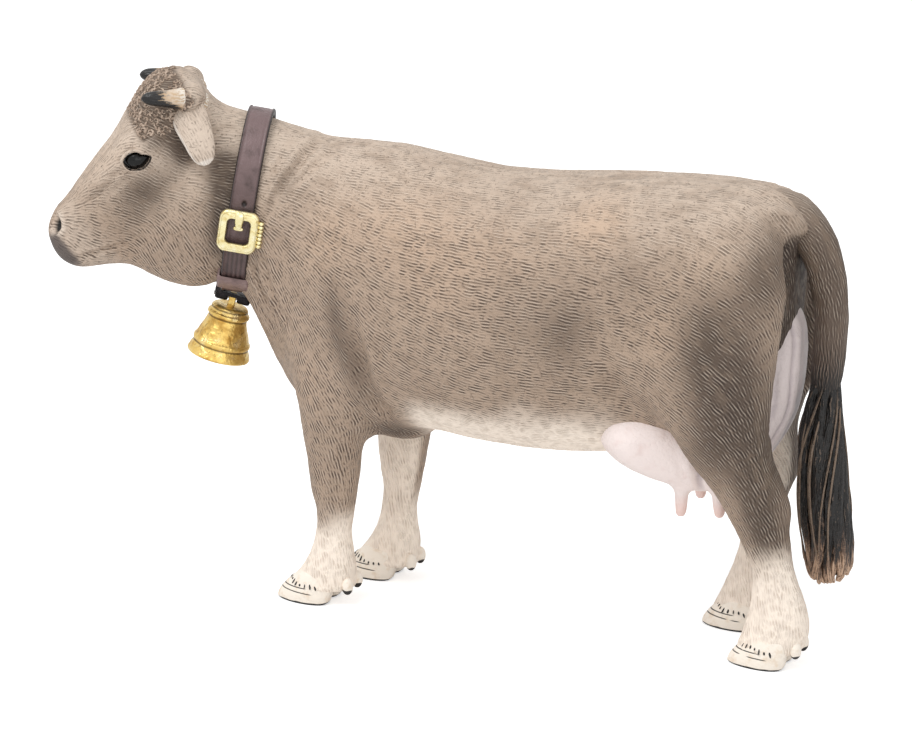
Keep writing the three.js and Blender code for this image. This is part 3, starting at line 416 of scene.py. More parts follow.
# Nodes
def add_node(tree, kind, inputs=(), out=0, **settings):
    """Adds a node with its settings, its input values and its links, and gives one of its outputs."""
    node = tree.nodes.new(kind)
    for key, value in settings.items():
        setattr(node, key, value)
    for key, value in dict(inputs).items():
        if isinstance(value, bpy.types.NodeSocket):
            tree.links.new(value, node.inputs[key])
        else:
            node.inputs[key].default_value = value
    return node.outputs[out] if node.outputs else None


def growth_tree(name, **named):
    """A geometry tree with named inputs, its geometry input, and those inputs as sockets."""
    tree = bpy.data.node_groups.new(name, "GeometryNodeTree")
    tree.interface.new_socket("Geometry", in_out="INPUT", socket_type="NodeSocketGeometry")
    for label, kind in named.items():
        tree.interface.new_socket(label, in_out="INPUT", socket_type="NodeSocket" + kind)
    tree.interface.new_socket("Geometry", in_out="OUTPUT", socket_type="NodeSocketGeometry")
    return tree, tree.nodes.new("NodeGroupInput").outputs


def grown(piece, tree, result, material, **values):
    """The piece made by a geometry tree whose last nodes realize it and give it its material."""
    real = add_node(tree, "GeometryNodeRealizeInstances", {"Geometry": result})
    painted = add_node(tree, "GeometryNodeSetMaterial", {"Geometry": real, "Material": material})
    add_node(tree, "NodeGroupOutput", {"Geometry": painted})
    modifier = piece.modifiers.new(tree.name, "NODES")
    modifier.node_group = tree
    for item in tree.interface.items_tree:
        if item.in_out == "INPUT" and item.name in values:
            modifier[item.identifier] = values[item.name]
    return bake_modifiers(piece)


# Noise and hair
def hashed(cells, seed):
    h = cells[:, 0] * 374761393 + cells[:, 1] * 668265263 + cells[:, 2] * 2147483647 + seed * 974711
    h = (h ^ (h >> 13)) * 1274126177
    return (((h ^ (h >> 16)) & 0xFFFFF) / 0x7FFFF) - 1.0


def noise(points, cell, seed=0):
    """Smooth random values from -1 to 1 that change over one cell."""
    scaled = points / cell
    low = np.floor(scaled).astype(np.int64)
    f = scaled - low
    f = f * f * (3 - 2 * f)
    total = np.zeros(len(points))
    for corner in itertools.product((0, 1), repeat=3):
        weight = np.prod(np.where(corner, f, 1 - f), axis=1)
        total += weight * hashed(low + corner, seed)
    return total


def strands(points, flow, cell, reach, seed):
    """Noise drawn out along the flow of the hair, from about -1 to 1."""
    steps = np.arange(-reach, reach + cell / 2, cell)
    wander = noise(points, cell * 9, seed + 7)[:, None] * 0.35
    turned = unit(flow + wander * np.roll(flow, 1, axis=1))
    total = sum(noise(points + turned * step, cell, seed) for step in steps)
    return np.clip(total / math.sqrt(len(steps)) * 1.5, -1.4, 1.4)


def spots(u, v, table):
    """The sum of soft spots: places u and v, half sizes in both, turn in degrees, amount."""
    total = np.zeros_like(u)
    for cu, cv, ru, rv, turn, amount in table:
        a = math.radians(turn)
        du, dv = u - cu, v - cv
        p = (du * math.cos(a) + dv * math.sin(a)) / ru
        q = (dv * math.cos(a) - du * math.sin(a)) / rv
        total += amount * np.exp(-(p * p + q * q))
    return total


def along_line(u, v, line):
    """Distance from a line through points, and the share of the way along the line."""
    line = np.asarray(line, float)
    lengths = np.linalg.norm(np.diff(line, axis=0), axis=1)
    starts = np.concatenate([[0], np.cumsum(lengths)])
    best, share = np.full(len(u), 1e9), np.zeros(len(u))
    place = np.stack([u, v], 1)
    for i, length in enumerate(lengths):
        step = (line[i + 1] - line[i]) / length
        t = np.clip((place - line[i]) @ step, 0, length)
        distance = np.linalg.norm(place - line[i] - t[:, None] * step, axis=1)
        closer = distance < best
        best = np.where(closer, distance, best)
        share = np.where(closer, (starts[i] + t) / starts[-1], share)
    return best, share


def creases(u, v, table):
    """Grooves with raised banks: each a width, a depth and the points of its line."""
    total = np.zeros_like(u)
    for width, depth, *line in table:
        distance, share = along_line(u, v, line)
        fade = np.sin(np.clip(share, 0.02, 0.98) * math.pi) ** 0.6
        q = distance / width
        total -= depth * fade * (np.exp(-q * q) - 0.45 * np.exp(-((q - 2.1) ** 2)))
    return total


def blended(u, v, table, spread):
    """Directions chosen at places, blended by nearness: rows of u, v and an angle in degrees."""
    total = np.zeros((len(u), 2))
    for cu, cv, degrees in table:
        weight = np.exp(-((u - cu) ** 2 + (v - cv) ** 2) / spread**2) + 1e-9
        angle = math.radians(degrees)
        total += weight[:, None] * np.array([math.cos(angle), math.sin(angle)])
    return unit(total)


# Trunk and legs
def trunk_shell():
    rows = rows_at(TORSO_SHARES, np.linspace(0, 1, 181))
    place, _, left = spine_at(rows[:, 0] * TORSO - RUMP)
    level = rows[:, 3] * WITHERS
    centre = place + level[:, None] * UP
    rise, drop = rows[:, 1] * WITHERS - level, level - rows[:, 2] * WITHERS
    half = np.maximum(rows[:, 4], 0.02) * BARREL_HALF
    return loft(rings_of(centre, left, UP, half, rise, drop, rows[:, 5], rows[:, 6], 96))


def leg_axis(height, reach, step, hip):
    lean = 1 - np.minimum(height / (hip * WITHERS), 1) ** LEAN_POWER
    return -reach - step * lean


ANKLE_SHARE = 0.03  # of WITHERS, where the hide ends inside the hoof
STERNUM, STERNUM_SIZE = (-8.5, -2.0, 32.3), (6.5, 5.4, 4.2)


def leg_shell(shares, reach, step, girth, hip, hand):
    heights = np.linspace(ANKLE_SHARE, shares[-1][0], 90)
    rows = rows_at(shares, heights)
    height = rows[:, 0] * WITHERS
    depth = (rows[:, 1] + rows[:, 2]) * girth / 2
    middle = leg_axis(height, reach, step, hip) + (rows[:, 2] - rows[:, 1]) * girth / 2
    centre = np.stack([middle, hand * rows[:, 3] * TRACK_HALF, height], 1)
    half = rows[:, 4] * HOOF_HALF
    return loft(rings_of(centre, hand * RIGHTWARD, FORWARD, half, depth, depth, 2.3, 2.2, 48))


LEGS = {
    "fore_left": (FORE_LEG_SHARES, FORE, 0.0, FORE_GIRTH, FORE_HIP_SHARE, LEFT),
    "fore_right": (FORE_LEG_SHARES, FORE, -FORE_STEP, FORE_GIRTH, FORE_HIP_SHARE, RIGHT),
    "hind_left": (HIND_LEG_SHARES, -HIND, 0.0, HIND_GIRTH, HIND_HIP_SHARE, LEFT),
    "hind_right": (HIND_LEG_SHARES, -HIND, HIND_STEP, HIND_GIRTH, HIND_HIP_SHARE, RIGHT),
}


def distances(shells, points):
    """How far each point lies from the nearest of some shells."""
    corners, faces = merged(shells)
    tree = BVHTree.FromPolygons(corners.tolist(), faces)
    return np.array([tree.find_nearest(point)[3] for point in points.tolist()])


# Places on the flanks as distance ahead along the spine and height: u grows forward, v up
BODY_CREASES = [
    (0.75, 1.0, (22.5, 77.6), (24.6, 76.1), (26.1, 73.8), (28.2, 71.4), (29.7, 68.5), (31.2, 65.2)),
    (0.6, 0.75, (20.5, 76.0), (23.5, 73.9), (25.6, 71.8), (27.2, 69.8), (28.6, 67.6), (29.6, 65.5)),
    (0.5, 0.35, (27.5, 76.8), (29.6, 73.4), (31.4, 70.0)),
    (0.6, 0.6, (34.0, 60.5), (33.2, 55.9), (30.9, 51.3), (27.8, 47.2)),
    (0.6, 0.6, (34.6, 53.6), (33.5, 51.0), (31.2, 48.3), (28.6, 45.6)),
    (0.5, 0.5, (31.8, 60.5), (30.6, 55.1), (28.0, 50.6), (25.2, 47.4)),
    (1.3, 1.1, (10.6, 53.0), (9.6, 47.0), (8.9, 41.1), (7.4, 37.6)),
    (0.9, 0.8, (8.2, 38.8), (6.4, 36.6), (6.8, 33.6)),
    (0.35, 0.16, (-42.6, 72.6), (-41.1, 69.5), (-38.2, 64.1)),
    (0.35, 0.18, (-38.6, 66.8), (-36.3, 64.9), (-28.9, 61.0), (-25.5, 60.2)),
    (0.35, 0.15, (-31.5, 68.8), (-30.0, 66.4), (-28.8, 64.4), (-25.0, 61.8)),
    (0.8, 0.9, (-53.0, 74.6), (-56.4, 72.3), (-58.8, 68.8), (-59.6, 63.0)),
    (0.5, 0.5, (-47.5, 76.3), (-52.9, 75.6), (-56.8, 74.6), (-60.3, 72.5)),
    (0.5, 0.5, (-55.4, 72.8), (-57.7, 72.2), (-60.8, 68.5)),
    (1.3, 0.6, (-30.4, 57.0), (-31.6, 52.0), (-34.0, 45.0), (-36.9, 40.5)),
]
# Muscles and bones: place, half sizes, turn in degrees, height of the swelling
BODY_SWELLS = [
    (-28.5, 71.5, 4.5, 2.6, -25, 0.75),
    (-52.0, 70.5, 5.0, 3.0, 0, 0.4),
    (-46.0, 64.0, 8.0, 7.0, 0, 0.5),
    (-27.0, 62.5, 5.0, 3.2, 20, -0.7),
    (-29.0, 55.0, 3.5, 6.0, 0, -0.5),
    (-50.5, 30.0, 2.2, 5.0, 12, -0.35),
    (17.0, 60.0, 7.5, 8.5, 30, 0.8),
    (16.0, 47.0, 5.5, 6.5, 0, 0.4),
    (9.8, 39.2, 2.4, 2.6, 0, 0.5),
    (22.5, 66.0, 2.6, 6.0, 20, -0.5),
    (30.0, 68.0, 1.8, 7.0, 25, 0.35),
    (4.0, 72.0, 9.0, 4.0, 0, 0.35),
    (15.5, 19.5, 2.4, 3.2, 0, 0.3),
    (-56.5, 27.5, 2.0, 3.2, 0, 0.4),
]
# The hollow between the thighs: height and how far to each side it reaches
HOLLOW_EDGE = [[36, 10.5], [45, 11.2], [57, 11.0], [61, 9.6], [66, 8.2], [71, 6.2], [75, 4.5]]
HOLLOW_DEPTH, HOLLOW_LEVELS = 2.4, ((37, 43), (67, 71))
TAIL_ROOT = ((44, 50), (2.2, 3.4), 58)  # folds beside it: how far back, how far out, above what height
# Which way the hair lies: place and the angle below straight back, in degrees
BODY_FLOW = [
    (34, 76, 5), (31, 70, 15), (33, 62, 70), (31, 54, 65), (26, 73, 25), (22, 66, 38), (18, 58, 42),
    (14, 66, 25), (10, 52, 45), (15, 42, 62), (17, 30, 78), (16, 10, 86), (6, 74, 12), (0, 62, 16),
    (-2, 48, 24), (-8, 36, 14), (-16, 66, 8), (-18, 50, 12), (-22, 38, 8), (-30, 70, 8),
    (-30, 58, 14), (-30, 46, 12), (-42, 74, 12), (-42, 62, 24), (-44, 50, 34), (-42, 40, 40),
    (-52, 66, 34), (-52, 52, 42), (-50, 38, 55), (-50, 26, 68), (-52, 8, 86), (-58, 70, 60),
    (-60, 52, 75), (-58, 40, 70),
]
# Darker tones on the flanks, in the same form as the swellings: partly sprayed patches, partly painted shade
# under the chest, behind the shoulder and on the thighs and buttocks
BODY_DARK = [
    (-26.5, 54.5, 4.5, 8.0, 10, 0.5), (-50.0, 54.0, 7.0, 9.5, 0, 0.9), (-53.5, 44.0, 5.5, 8.0, 0, 0.95),
    (-49.0, 36.0, 6.0, 7.0, 30, 0.5), (-56.5, 32.0, 3.5, 8.0, 0, 0.95), (-58.0, 23.0, 3.5, 6.0, 0, 0.8),
    (-57.0, 66.0, 4.0, 7.0, 0, 0.7), (10.0, 42.0, 3.2, 7.5, -12, 0.5), (14.5, 51.5, 3.2, 8.0, -10, 0.65),
    (33.5, 66.0, 2.4, 9.0, 0, 0.25), (14.0, 24.5, 3.5, 4.0, 0, 0.1), (-19.0, 56.0, 7.0, 9.0, 0, 0.25),
    (7.5, 31.0, 4.5, 2.8, 0, 0.9), (27.5, 72.0, 2.4, 3.6, 30, 0.4), (-36.0, 64.0, 4.0, 5.0, 0, 0.3),
]
BODY_WARM = [
    (-29.5, 71.0, 6.0, 4.5, 0, 0.8), (-48.0, 67.0, 7.0, 5.0, 0, 0.35), (3.0, 68.0, 12.0, 7.0, 0, 0.6),
    (-5.0, 58.0, 9.0, 7.0, 0, 0.35), (18.0, 64.0, 6.0, 7.0, 0, 0.5), (-15.0, 66.0, 10.0, 5.0, 0, 0.35),
    (-42.0, 55.0, 5.0, 6.0, 0, 0.45), (21.0, 40.0, 4.0, 6.0, 0, 0.3),
]


def laid_on(raw, normals):
    """Directions turned to lie in the skin."""
    return unit(raw - (raw * normals).sum(1, keepdims=True) * normals)


def body_flow(points, normals, reach):
    turn = blended(reach, points[:, 2], BODY_FLOW, 7.0)
    return laid_on(-spine_at(reach)[1] * turn[:, :1] - UP * turn[:, 1:], normals)


def renumbered(quads):
    """Which points some faces use, and the faces by their new numbers."""
    used, flat = np.unique(quads, return_inverse=True)
    return used, flat.reshape(-1, 4)


def cut_off(quads, keep):
    """The same for the faces whose points are mostly kept."""
    return renumbered(quads[keep[quads].mean(1) > 0.5])


def rim_of(quads):
    """Edges that only one face has, each in the direction of its face."""
    directed = np.concatenate([quads[:, [k, (k + 1) % 4]] for k in range(4)])
    key = np.sort(directed, 1)
    _, first, counts = np.unique(key, axis=0, return_index=True, return_counts=True)
    return directed[first[counts == 1]]


def smooth_shaded(piece, degrees=40):
    mesh = piece.data
    mesh.shade_smooth()
    mesh.set_sharp_from_angle(angle=math.radians(degrees))
    return piece


def closed_piece(name, points, quads, tones):
    """A piece from a skin with open rims: each rim gets a flat wall, and faces point outwards."""
    piece = new_object(name, points, quads, **tones)
    shell = bmesh.new()
    shell.from_mesh(piece.data)
    rim = [edge for edge in shell.edges if edge.is_boundary]
    bmesh.ops.holes_fill(shell, edges=rim, sides=0)
    walls = [face for face in shell.faces if len(face.verts) > 4]
    bmesh.ops.triangulate(shell, faces=walls)
    shell.to_mesh(piece.data)
    shell.free()
    return smooth_shaded(piece)


head_place, head_ahead, head_left = (value[0] for value in spine_at(HEAD_REACH))
HEAD_ORIGIN = head_place + HEAD_HEIGHT * UP
FACE = math.cos(HEAD_PITCH) * head_ahead - math.sin(HEAD_PITCH) * UP
FACE_UP = math.sin(HEAD_PITCH) * head_ahead + math.cos(HEAD_PITCH) * UP
collar_place, collar_ahead, COLLAR_LEFT = (value[0] for value in spine_at(COLLAR_REACH))
COLLAR_AXIS = math.cos(COLLAR_LEAN) * collar_ahead + math.sin(COLLAR_LEAN) * UP
COLLAR_UP = math.cos(COLLAR_LEAN) * UP - math.sin(COLLAR_LEAN) * collar_ahead
neck_row = rows_at(TORSO_SHARES, (COLLAR_REACH + RUMP) / TORSO)[0]
COLLAR_CENTRE = collar_place + neck_row[3] * WITHERS * UP


def along_collar(points):
    return (points - COLLAR_CENTRE) @ COLLAR_AXIS


def cut_at_collar(points, quads, tones, end, gap):
    """The skin on one side of the collar, its rim laid flat at a gap from the middle, and its tones."""
    used, quads = cut_off(quads, end * along_collar(points) > 0)
    points = points[used]
    rim = np.unique(rim_of(quads))
    points[rim] -= (along_collar(points[rim]) - gap)[:, None] * COLLAR_AXIS
    return points, quads, {key: value[used] for key, value in tones.items()}


def head_point(s, t, across):
    """Millimetres along the face, above its line, and to the animal's left."""
    s, t, across = (np.asarray(value, float)[..., None] for value in (s, t, across))
    return HEAD_ORIGIN + s * FACE + t * FACE_UP + across * head_left


def head_coords(points):
    rest = points - HEAD_ORIGIN
    return rest @ FACE, rest @ FACE_UP, rest @ head_left


def body_skin():
    trunk = trunk_shell()
    legs = [leg_shell(*leg) for leg in LEGS.values()]
    sternum = egg_shell(np.array(STERNUM), (-FORWARD, RIGHTWARD, UP), STERNUM_SIZE)
    points, quads = remeshed([trunk, sternum, *legs], BODY_VOXEL)
    apart = np.maximum(distances([trunk], points), distances(legs, points))
    weight = BLEND_WEIGHT * bump(apart, BODY_BLEND) * smooth_step(points[:, 2], 18, 26)
    edges = edges_of(quads)
    points = relaxed(points, edges, weight, BLEND_ROUNDS)
    points = relaxed(points, edges, 0.5 * smooth_step(points[:, 2], 2, 8), 4)
    points, quads = finer(points, quads)
    normals = normals_of(points, quads)
    reach, left = spine_coords(points)
    facing = (normals * spine_at(reach)[2]).sum(1)
    outer = smooth_step(np.sign(left) * facing, 0.1, 0.5)
    back, out, above = TAIL_ROOT
    tail_root = smooth_step(-reach, *back) * smooth_step(np.abs(left), *out) * (points[:, 2] > above)
    folds = creases(reach, points[:, 2], BODY_CREASES) * np.maximum(outer, tail_root)
    lift = spots(reach, points[:, 2], BODY_SWELLS) * outer + folds
    points = points + normals * lift[:, None]
    points[:, 0] -= HOLLOW_DEPTH * between_thighs(points, normals)
    points = relaxed(points, edges_of(quads), 0.4, 2)
    return points, quads


def between_thighs(points, normals):
    """How deep in the hollow behind, between the thighs and under the tail, a point lies."""
    edge = np.interp(points[:, 2], *np.transpose(HOLLOW_EDGE))
    inside = 1 - smooth_step(np.abs(points[:, 1]) - edge, -1.6, 0.4)
    return smooth_step(normals[:, 0], 0.15, 0.6) * inside * within(points[:, 2], *HOLLOW_LEVELS)


def dressed_body():
    points, quads = body_skin()
    normals = normals_of(points, quads)
    reach, left = spine_coords(points)
    flow = body_flow(points, normals, reach)
    z = points[:, 2]
    hair = strands(points, flow, TUFT_CELL, TUFT_REACH, seed=3) * smooth_step(z, 5.0, 9.0)
    # Painted shade: the hollow between the thighs and under the tail is painted darker
    hollow = smooth_step(points[:, 0], 50, 54) * between_thighs(points, normals)
    points = points + normals * (TUFT_DEPTH * hair)[:, None]
    tones = {
        "dark": np.clip(spots(reach, z, BODY_DARK) + 1.6 * hollow, 0, 1.6),
        "warm": np.clip(spots(reach, z, BODY_WARM), 0, 1),
        "cream": body_cream(points, normals, reach, left),
        "hair": hair,
        "flow": flow,
    }
    points, quads, tones = cut_at_collar(points, quads, tones, -1, 0.0)
    _, left = spine_coords(points)
    halves = {}
    is_left = left[quads].mean(1) > 0
    shared = np.intersect1d(quads[is_left], quads[~is_left])
    points[shared] -= (left[shared, None]) * spine_at(spine_coords(points[shared])[0])[2]
    for name, faces in (("body_left", quads[is_left]), ("body_right", quads[~is_left])):
        used, part = renumbered(faces)
        its_tones = {key: value[used] for key, value in tones.items()}
        halves[name] = closed_piece("hide_" + name, points[used], part, its_tones)
    return halves


LEG_CREAM, INNER_CREAM, BELLY_CREAM = (10, 20), (30, 44), (33, 44)  # heights over which cream ends
HIND_LEGS, HIND_CREAM = -20, 3.0  # where the hind legs end, and how much higher their cream goes
BELLY_REACH = ((-38, -30), (0, 6))  # where the cream of the belly begins and ends


def body_cream(points, normals, reach, left):
    """Cream paint on the lower legs, on their insides and on the belly."""
    z = points[:, 2]
    higher = np.where(reach < HIND_LEGS, HIND_CREAM, 0.0)
    legs = 1 - smooth_step(z - higher + 1.6 * noise(points, 5.0, seed=11), *LEG_CREAM)
    inner = smooth_step(np.sign(left) * normals[:, 1], 0.1, 0.7)
    inner = inner * (1 - smooth_step(z, *INNER_CREAM)) * 0.75
    belly = (1 - smooth_step(z + 1.6 * noise(points, 6.0, seed=5), *BELLY_CREAM)) * 0.95
    belly = belly * within(reach, *BELLY_REACH)
    return np.clip(np.maximum(np.maximum(legs, inner), belly), 0, 1)


# Head
# Places on the face as (s, t): millimetres along it towards the nose and above its line
FACE_CREASES = [
    (0.42, 0.34, (4.9, 6.2), (7.1, 6.1), (9.0, 5.6), (11.0, 5.3), (13.2, 5.1)),
    (0.4, 0.2, (5.3, 3.6), (7.3, 3.0), (9.0, 2.7), (10.6, 2.4)),
    (0.4, 0.14, (4.6, 4.4), (6.4, 4.6), (8.4, 4.2)),
    (0.33, 0.42, (12.9, -4.2), (14.6, -3.5), (16.3, -2.8), (17.9, -2.2), (19.6, -1.3), (21.2, -0.9)),
    (0.5, 0.25, (13.0, -4.0), (12.2, -5.4), (12.4, -7.2)),
    (0.8, 0.3, (9.5, -8.5), (6.0, -12.0), (1.5, -13.4)),
    (0.4, 0.2, (17.4, 6.3), (18.2, 4.2), (19.6, 2.9), (21.0, 2.2)),
]
FACE_SWELLS = [
    (1.6, 9.3, 4.2, 1.1, 8, 0.75),
    (2.3, 6.2, 3.8, 2.9, 28, 0.35),
    (-2.0, 6.6, 1.6, 1.2, 0, 0.3),
    (2.4, -5.6, 5.2, 4.2, 30, 0.6),
    (11.5, 7.6, 6.0, 1.8, 0, 0.25),
    (9.2, 0.2, 4.0, 2.0, 0, -0.3),
    (18.6, 4.8, 2.0, 1.8, 0, 0.2),
    (17.8, 0.4, 2.2, 1.6, 12, 0.15),
    (18.0, -3.6, 2.6, 0.9, 15, 0.4),
    (-6.0, 3.0, 2.0, 3.2, 0, -0.5),
    (-4.5, 11.5, 3.5, 2.2, 0, 0.35),
]
NOSTRIL_LINE = [(19.1, 5.9), (20.0, 5.0), (21.0, 4.4)]
EYE_OUTLINE = [
    (4.1, 7.4), (2.9, 7.9), (2.0, 7.7), (1.0, 6.6), (0.1, 5.2), (1.4, 4.6), (3.0, 4.8), (4.1, 5.6),
]
EYE_MIDDLE = (2.35, 6.2)
SOCKET_DEPTH = 1.2
BOSS_PLACE, BOSS_SIZE = (-10.6, 8.4, 6.0), (4.0, 2.9, 2.6)  # the swelling under horn and ear
CURL_PATCHES = [  # levels over which the curls begin, and where they begin and end along the face
    ((7.4, 8.2), ((-12.0, -10.5), (-1.6, 0.2))),  # the forehead
    ((5.8, 6.8), ((-8.2, -7.2), (-4.0, -2.6))),  # the temple, below the horn
]
NOSTRIL_START, NOSTRIL_HALF, NOSTRIL_DEPTH = (17, 18.5), 0.7, 1.1
NOSTRIL_RIM, NOSTRIL_RIM_OUT = 0.12, 1.2  # how high it stands, and how far from the slit
LASH_WIDTH = 0.07  # of the black line round the eye, as a share of the way to its outline
FACE_TUFT = 0.7  # size of the face's tufts as a share of the body's
NECK_LAP = 2.5  # how far behind the collar the head's skin is still worked out
HEAD_GAP = 0.1  # between the rims of body and head under the collar
CURL_BED = 0.35  # how deep the skin lies below the curls
CURLS = {"Spacing": 0.54 * MM, "Curl": 0.29 * MM, "Thickness": 0.2 * MM, "Seed": 4}
CURL_SWEEP, CURL_TIP, CURL_SIZES = math.radians(215), 0.35, (0.6, 1.5)
FACE_FLOW = [
    (-8, 12, 60), (-3, 11, 80), (2, 10, 10), (8, 8, 0), (14, 6, 5), (19, 4, 60), (20, 0, 80),
    (-2, 6, 80), (-3, 1, 85), (3, 3, 70), (8, 3, 60), (4, -2, 62), (10, -1, 62), (15, 1, 75),
    (2, -7, 35), (8, -6, 40), (13, -3, 50), (-3, -5, 15), (4, -12, 10), (10, -12, 20), (15, -6, 30),
    (-7, 2, 10), (-8, -4, 5),
]
# Painted shade on the face, in the same form as the swellings: darker behind and below the eye, on the
# cheek, under the horn and under the jaw
FACE_DARK = [
    (-5.0, 4.0, 2.4, 5.5, 0, 0.9), (-1.8, 7.0, 2.0, 1.5, 0, 0.45), (5.5, 2.0, 3.4, 2.4, 0, 0.5),
    (3.5, -4.0, 6.0, 6.0, 20, 0.3), (-6.5, -3.0, 3.0, 7.0, 0, 1.15), (10.5, 5.4, 3.5, 0.8, 0, 0.4),
    (9.0, -1.5, 4.5, 3.0, 0, 0.3), (-8.0, 7.5, 3.0, 1.2, 0, 0.5), (7.0, -13.0, 6.0, 2.0, 45, 0.3),
    (0.5, 1.0, 6.5, 5.5, 0, 0.3), (-3.0, -8.0, 6.0, 4.0, 0, 0.2),
]
FACE_WARM = [
    (0.0, -3.5, 4.0, 5.0, 0, 0.5), (13.0, -5.5, 3.0, 2.4, 0, 0.45), (8.0, 9.0, 7.0, 2.0, 0, 0.3),
]


def skull_shell():
    rows = rows_at(SKULL_SHARES, np.linspace(SKULL_SHARES[0][0], SKULL_SHARES[-1][0], 140))
    level = rows[:, 3] * HEAD_DEPTH
    centre = head_point(rows[:, 0] * HEAD_LENGTH, level, np.zeros(len(rows)))
    rise, drop = rows[:, 1] * HEAD_DEPTH - level, level - rows[:, 2] * HEAD_DEPTH
    half = rows[:, 4] * HEAD_HALF
    return loft(rings_of(centre, head_left, FACE_UP, half, rise, drop, rows[:, 5], rows[:, 6], 96))


def egg_shell(centre, axes, sizes):
    """An egg whose long axis is the first one."""
    turn = np.linspace(0, math.pi, 33)
    middle = centre + (sizes[0] * np.cos(turn))[:, None] * axes[0]
    size = np.maximum(np.sin(turn), 0.02)
    half, rise = size * sizes[1], size * sizes[2]
    return loft(rings_of(middle, axes[1], axes[2], half, rise, rise, 2, 2, 32))


def horn_boss(hand):
    """The swelling of hide that the horn and the ear come out of."""
    s, t, across = BOSS_PLACE
    return egg_shell(head_point(s, t, -hand * across), (head_left, FACE, FACE_UP), BOSS_SIZE)


def eye_ratio(s, t):
    """Distance from the eye's middle as a share of the way to its outline."""
    outline = np.array(EYE_OUTLINE) - EYE_MIDDLE
    angles = np.arctan2(outline[:, 1], outline[:, 0])
    order = np.argsort(angles)
    rest = np.stack([s - EYE_MIDDLE[0], t - EYE_MIDDLE[1]])
    radii = np.linalg.norm(outline, axis=1)[order]
    edge = np.interp(np.arctan2(rest[1], rest[0]), angles[order], radii, period=2 * math.pi)
    return np.linalg.norm(rest, axis=0) / edge


def curl_cover(s, t):
    """Where the head is covered with curls."""
    return np.maximum(*(smooth_step(t, *level) * within(s, *ends) for level, ends in CURL_PATCHES))


def head_skin():
    trunk, skull = trunk_shell(), skull_shell()
    skull = merged([skull, horn_boss(LEFT), horn_boss(RIGHT)])
    points, quads = remeshed([trunk, skull], HEAD_VOXEL)
    to_trunk, to_skull = distances([trunk], points), distances([skull], points)
    used, quads = cut_off(quads, along_collar(points) > -NECK_LAP)
    points, to_trunk, to_skull = points[used], to_trunk[used], to_skull[used]
    apart = np.maximum(to_trunk, to_skull)
    edges = edges_of(quads)
    points = relaxed(points, edges, BLEND_WEIGHT * bump(apart, HEAD_BLEND), BLEND_ROUNDS)
    points = relaxed(points, edges, 0.5, 3)
    points, quads = finer(points, quads)
    return points, quads, distances([skull], points), distances([trunk], points)


def dressed_head():
    points, quads, to_skull, to_trunk = head_skin()
    normals = normals_of(points, quads)
    s, t, across = head_coords(points)
    outward = np.abs(normals @ head_left)
    side = smooth_step(outward, 0.15, 0.6)
    skull = smooth_step(to_trunk - to_skull, -1.0, 1.5)
    lift = skull * side * (spots(s, t, FACE_SWELLS) + creases(s, t, FACE_CREASES))
    ratio = eye_ratio(s, t)
    lift -= skull * side * SOCKET_DEPTH * (1 - smooth_step(ratio, 0.86, 1.06))
    to_slit, slit_share = along_line(s, t, NOSTRIL_LINE)
    to_slit = to_slit + 0.5 * (2 * slit_share - 1) ** 2
    beside = skull * smooth_step(np.abs(across), 1.4, 2.2) * smooth_step(s, *NOSTRIL_START)
    rim = NOSTRIL_RIM * bump(to_slit - NOSTRIL_RIM_OUT, 0.6)
    lift -= beside * (NOSTRIL_DEPTH * bump(to_slit, NOSTRIL_HALF) - rim)
    points = points + normals * lift[:, None]
    points = relaxed(points, edges_of(quads), 0.35, 1)
    points = np.maximum(points, np.array(cad_box[0]) / MM - SHIFT + TUFT_DEPTH)
    normals = normals_of(points, quads)
    turn = blended(s, t, FACE_FLOW, 3.4)
    reach, _ = spine_coords(points)
    face_flow = laid_on(-FACE * turn[:, :1] - FACE_UP * turn[:, 1:], normals)
    flow = unit(face_flow * skull[:, None] + body_flow(points, normals, reach) * (1 - skull[:, None]))
    curls = curl_cover(s, t) * skull
    bare = skull * smooth_step(s, 19.0, 21.0)
    hair = strands(points, flow, TUFT_CELL * FACE_TUFT, 1.4, seed=5) * (1 - curls) * (1 - bare)
    points = points + normals * (TUFT_DEPTH * FACE_TUFT * hair - CURL_BED * curls)[:, None]
    lash = bump(ratio - 1.0, LASH_WIDTH) * skull * side
    nostril_rim = beside * bump(to_slit - 1.1, 0.5)
    pad = smooth_step(s, 20.0, 21.5) * (1 - smooth_step(t, 3.4, 5.2)) * smooth_step(t, -4.5, -0.8)
    shade = spots(s, t, FACE_DARK) * skull + neck_dark(reach, points[:, 2]) * (1 - skull)
    # Painted shade: the skin under the forehead's curls is painted darker and its hair tone lowered
    tones = {
        "dark": np.clip(shade + 1.2 * curls, 0, 1.2),
        "warm": np.clip(spots(s, t, FACE_WARM) * skull, 0, 1),
        "cream": np.clip(skull * (0.3 * smooth_step(s, 12, 18) * side + 0.2 * nostril_rim), 0, 1),
        "hair": hair - 1.2 * curls,
        "nose": skull * pad,
        "ink": np.maximum(lash, beside * bump(to_slit, 0.62)),
        "curls": curls,
        "flow": flow,
    }
    points, quads, tones = cut_at_collar(points, quads, tones, 1, HEAD_GAP)
    above, forehead = cut_off(quads, tones.pop("curls") > 0.5)
    return closed_piece("hide_head", points, quads, tones), (points[above], forehead)


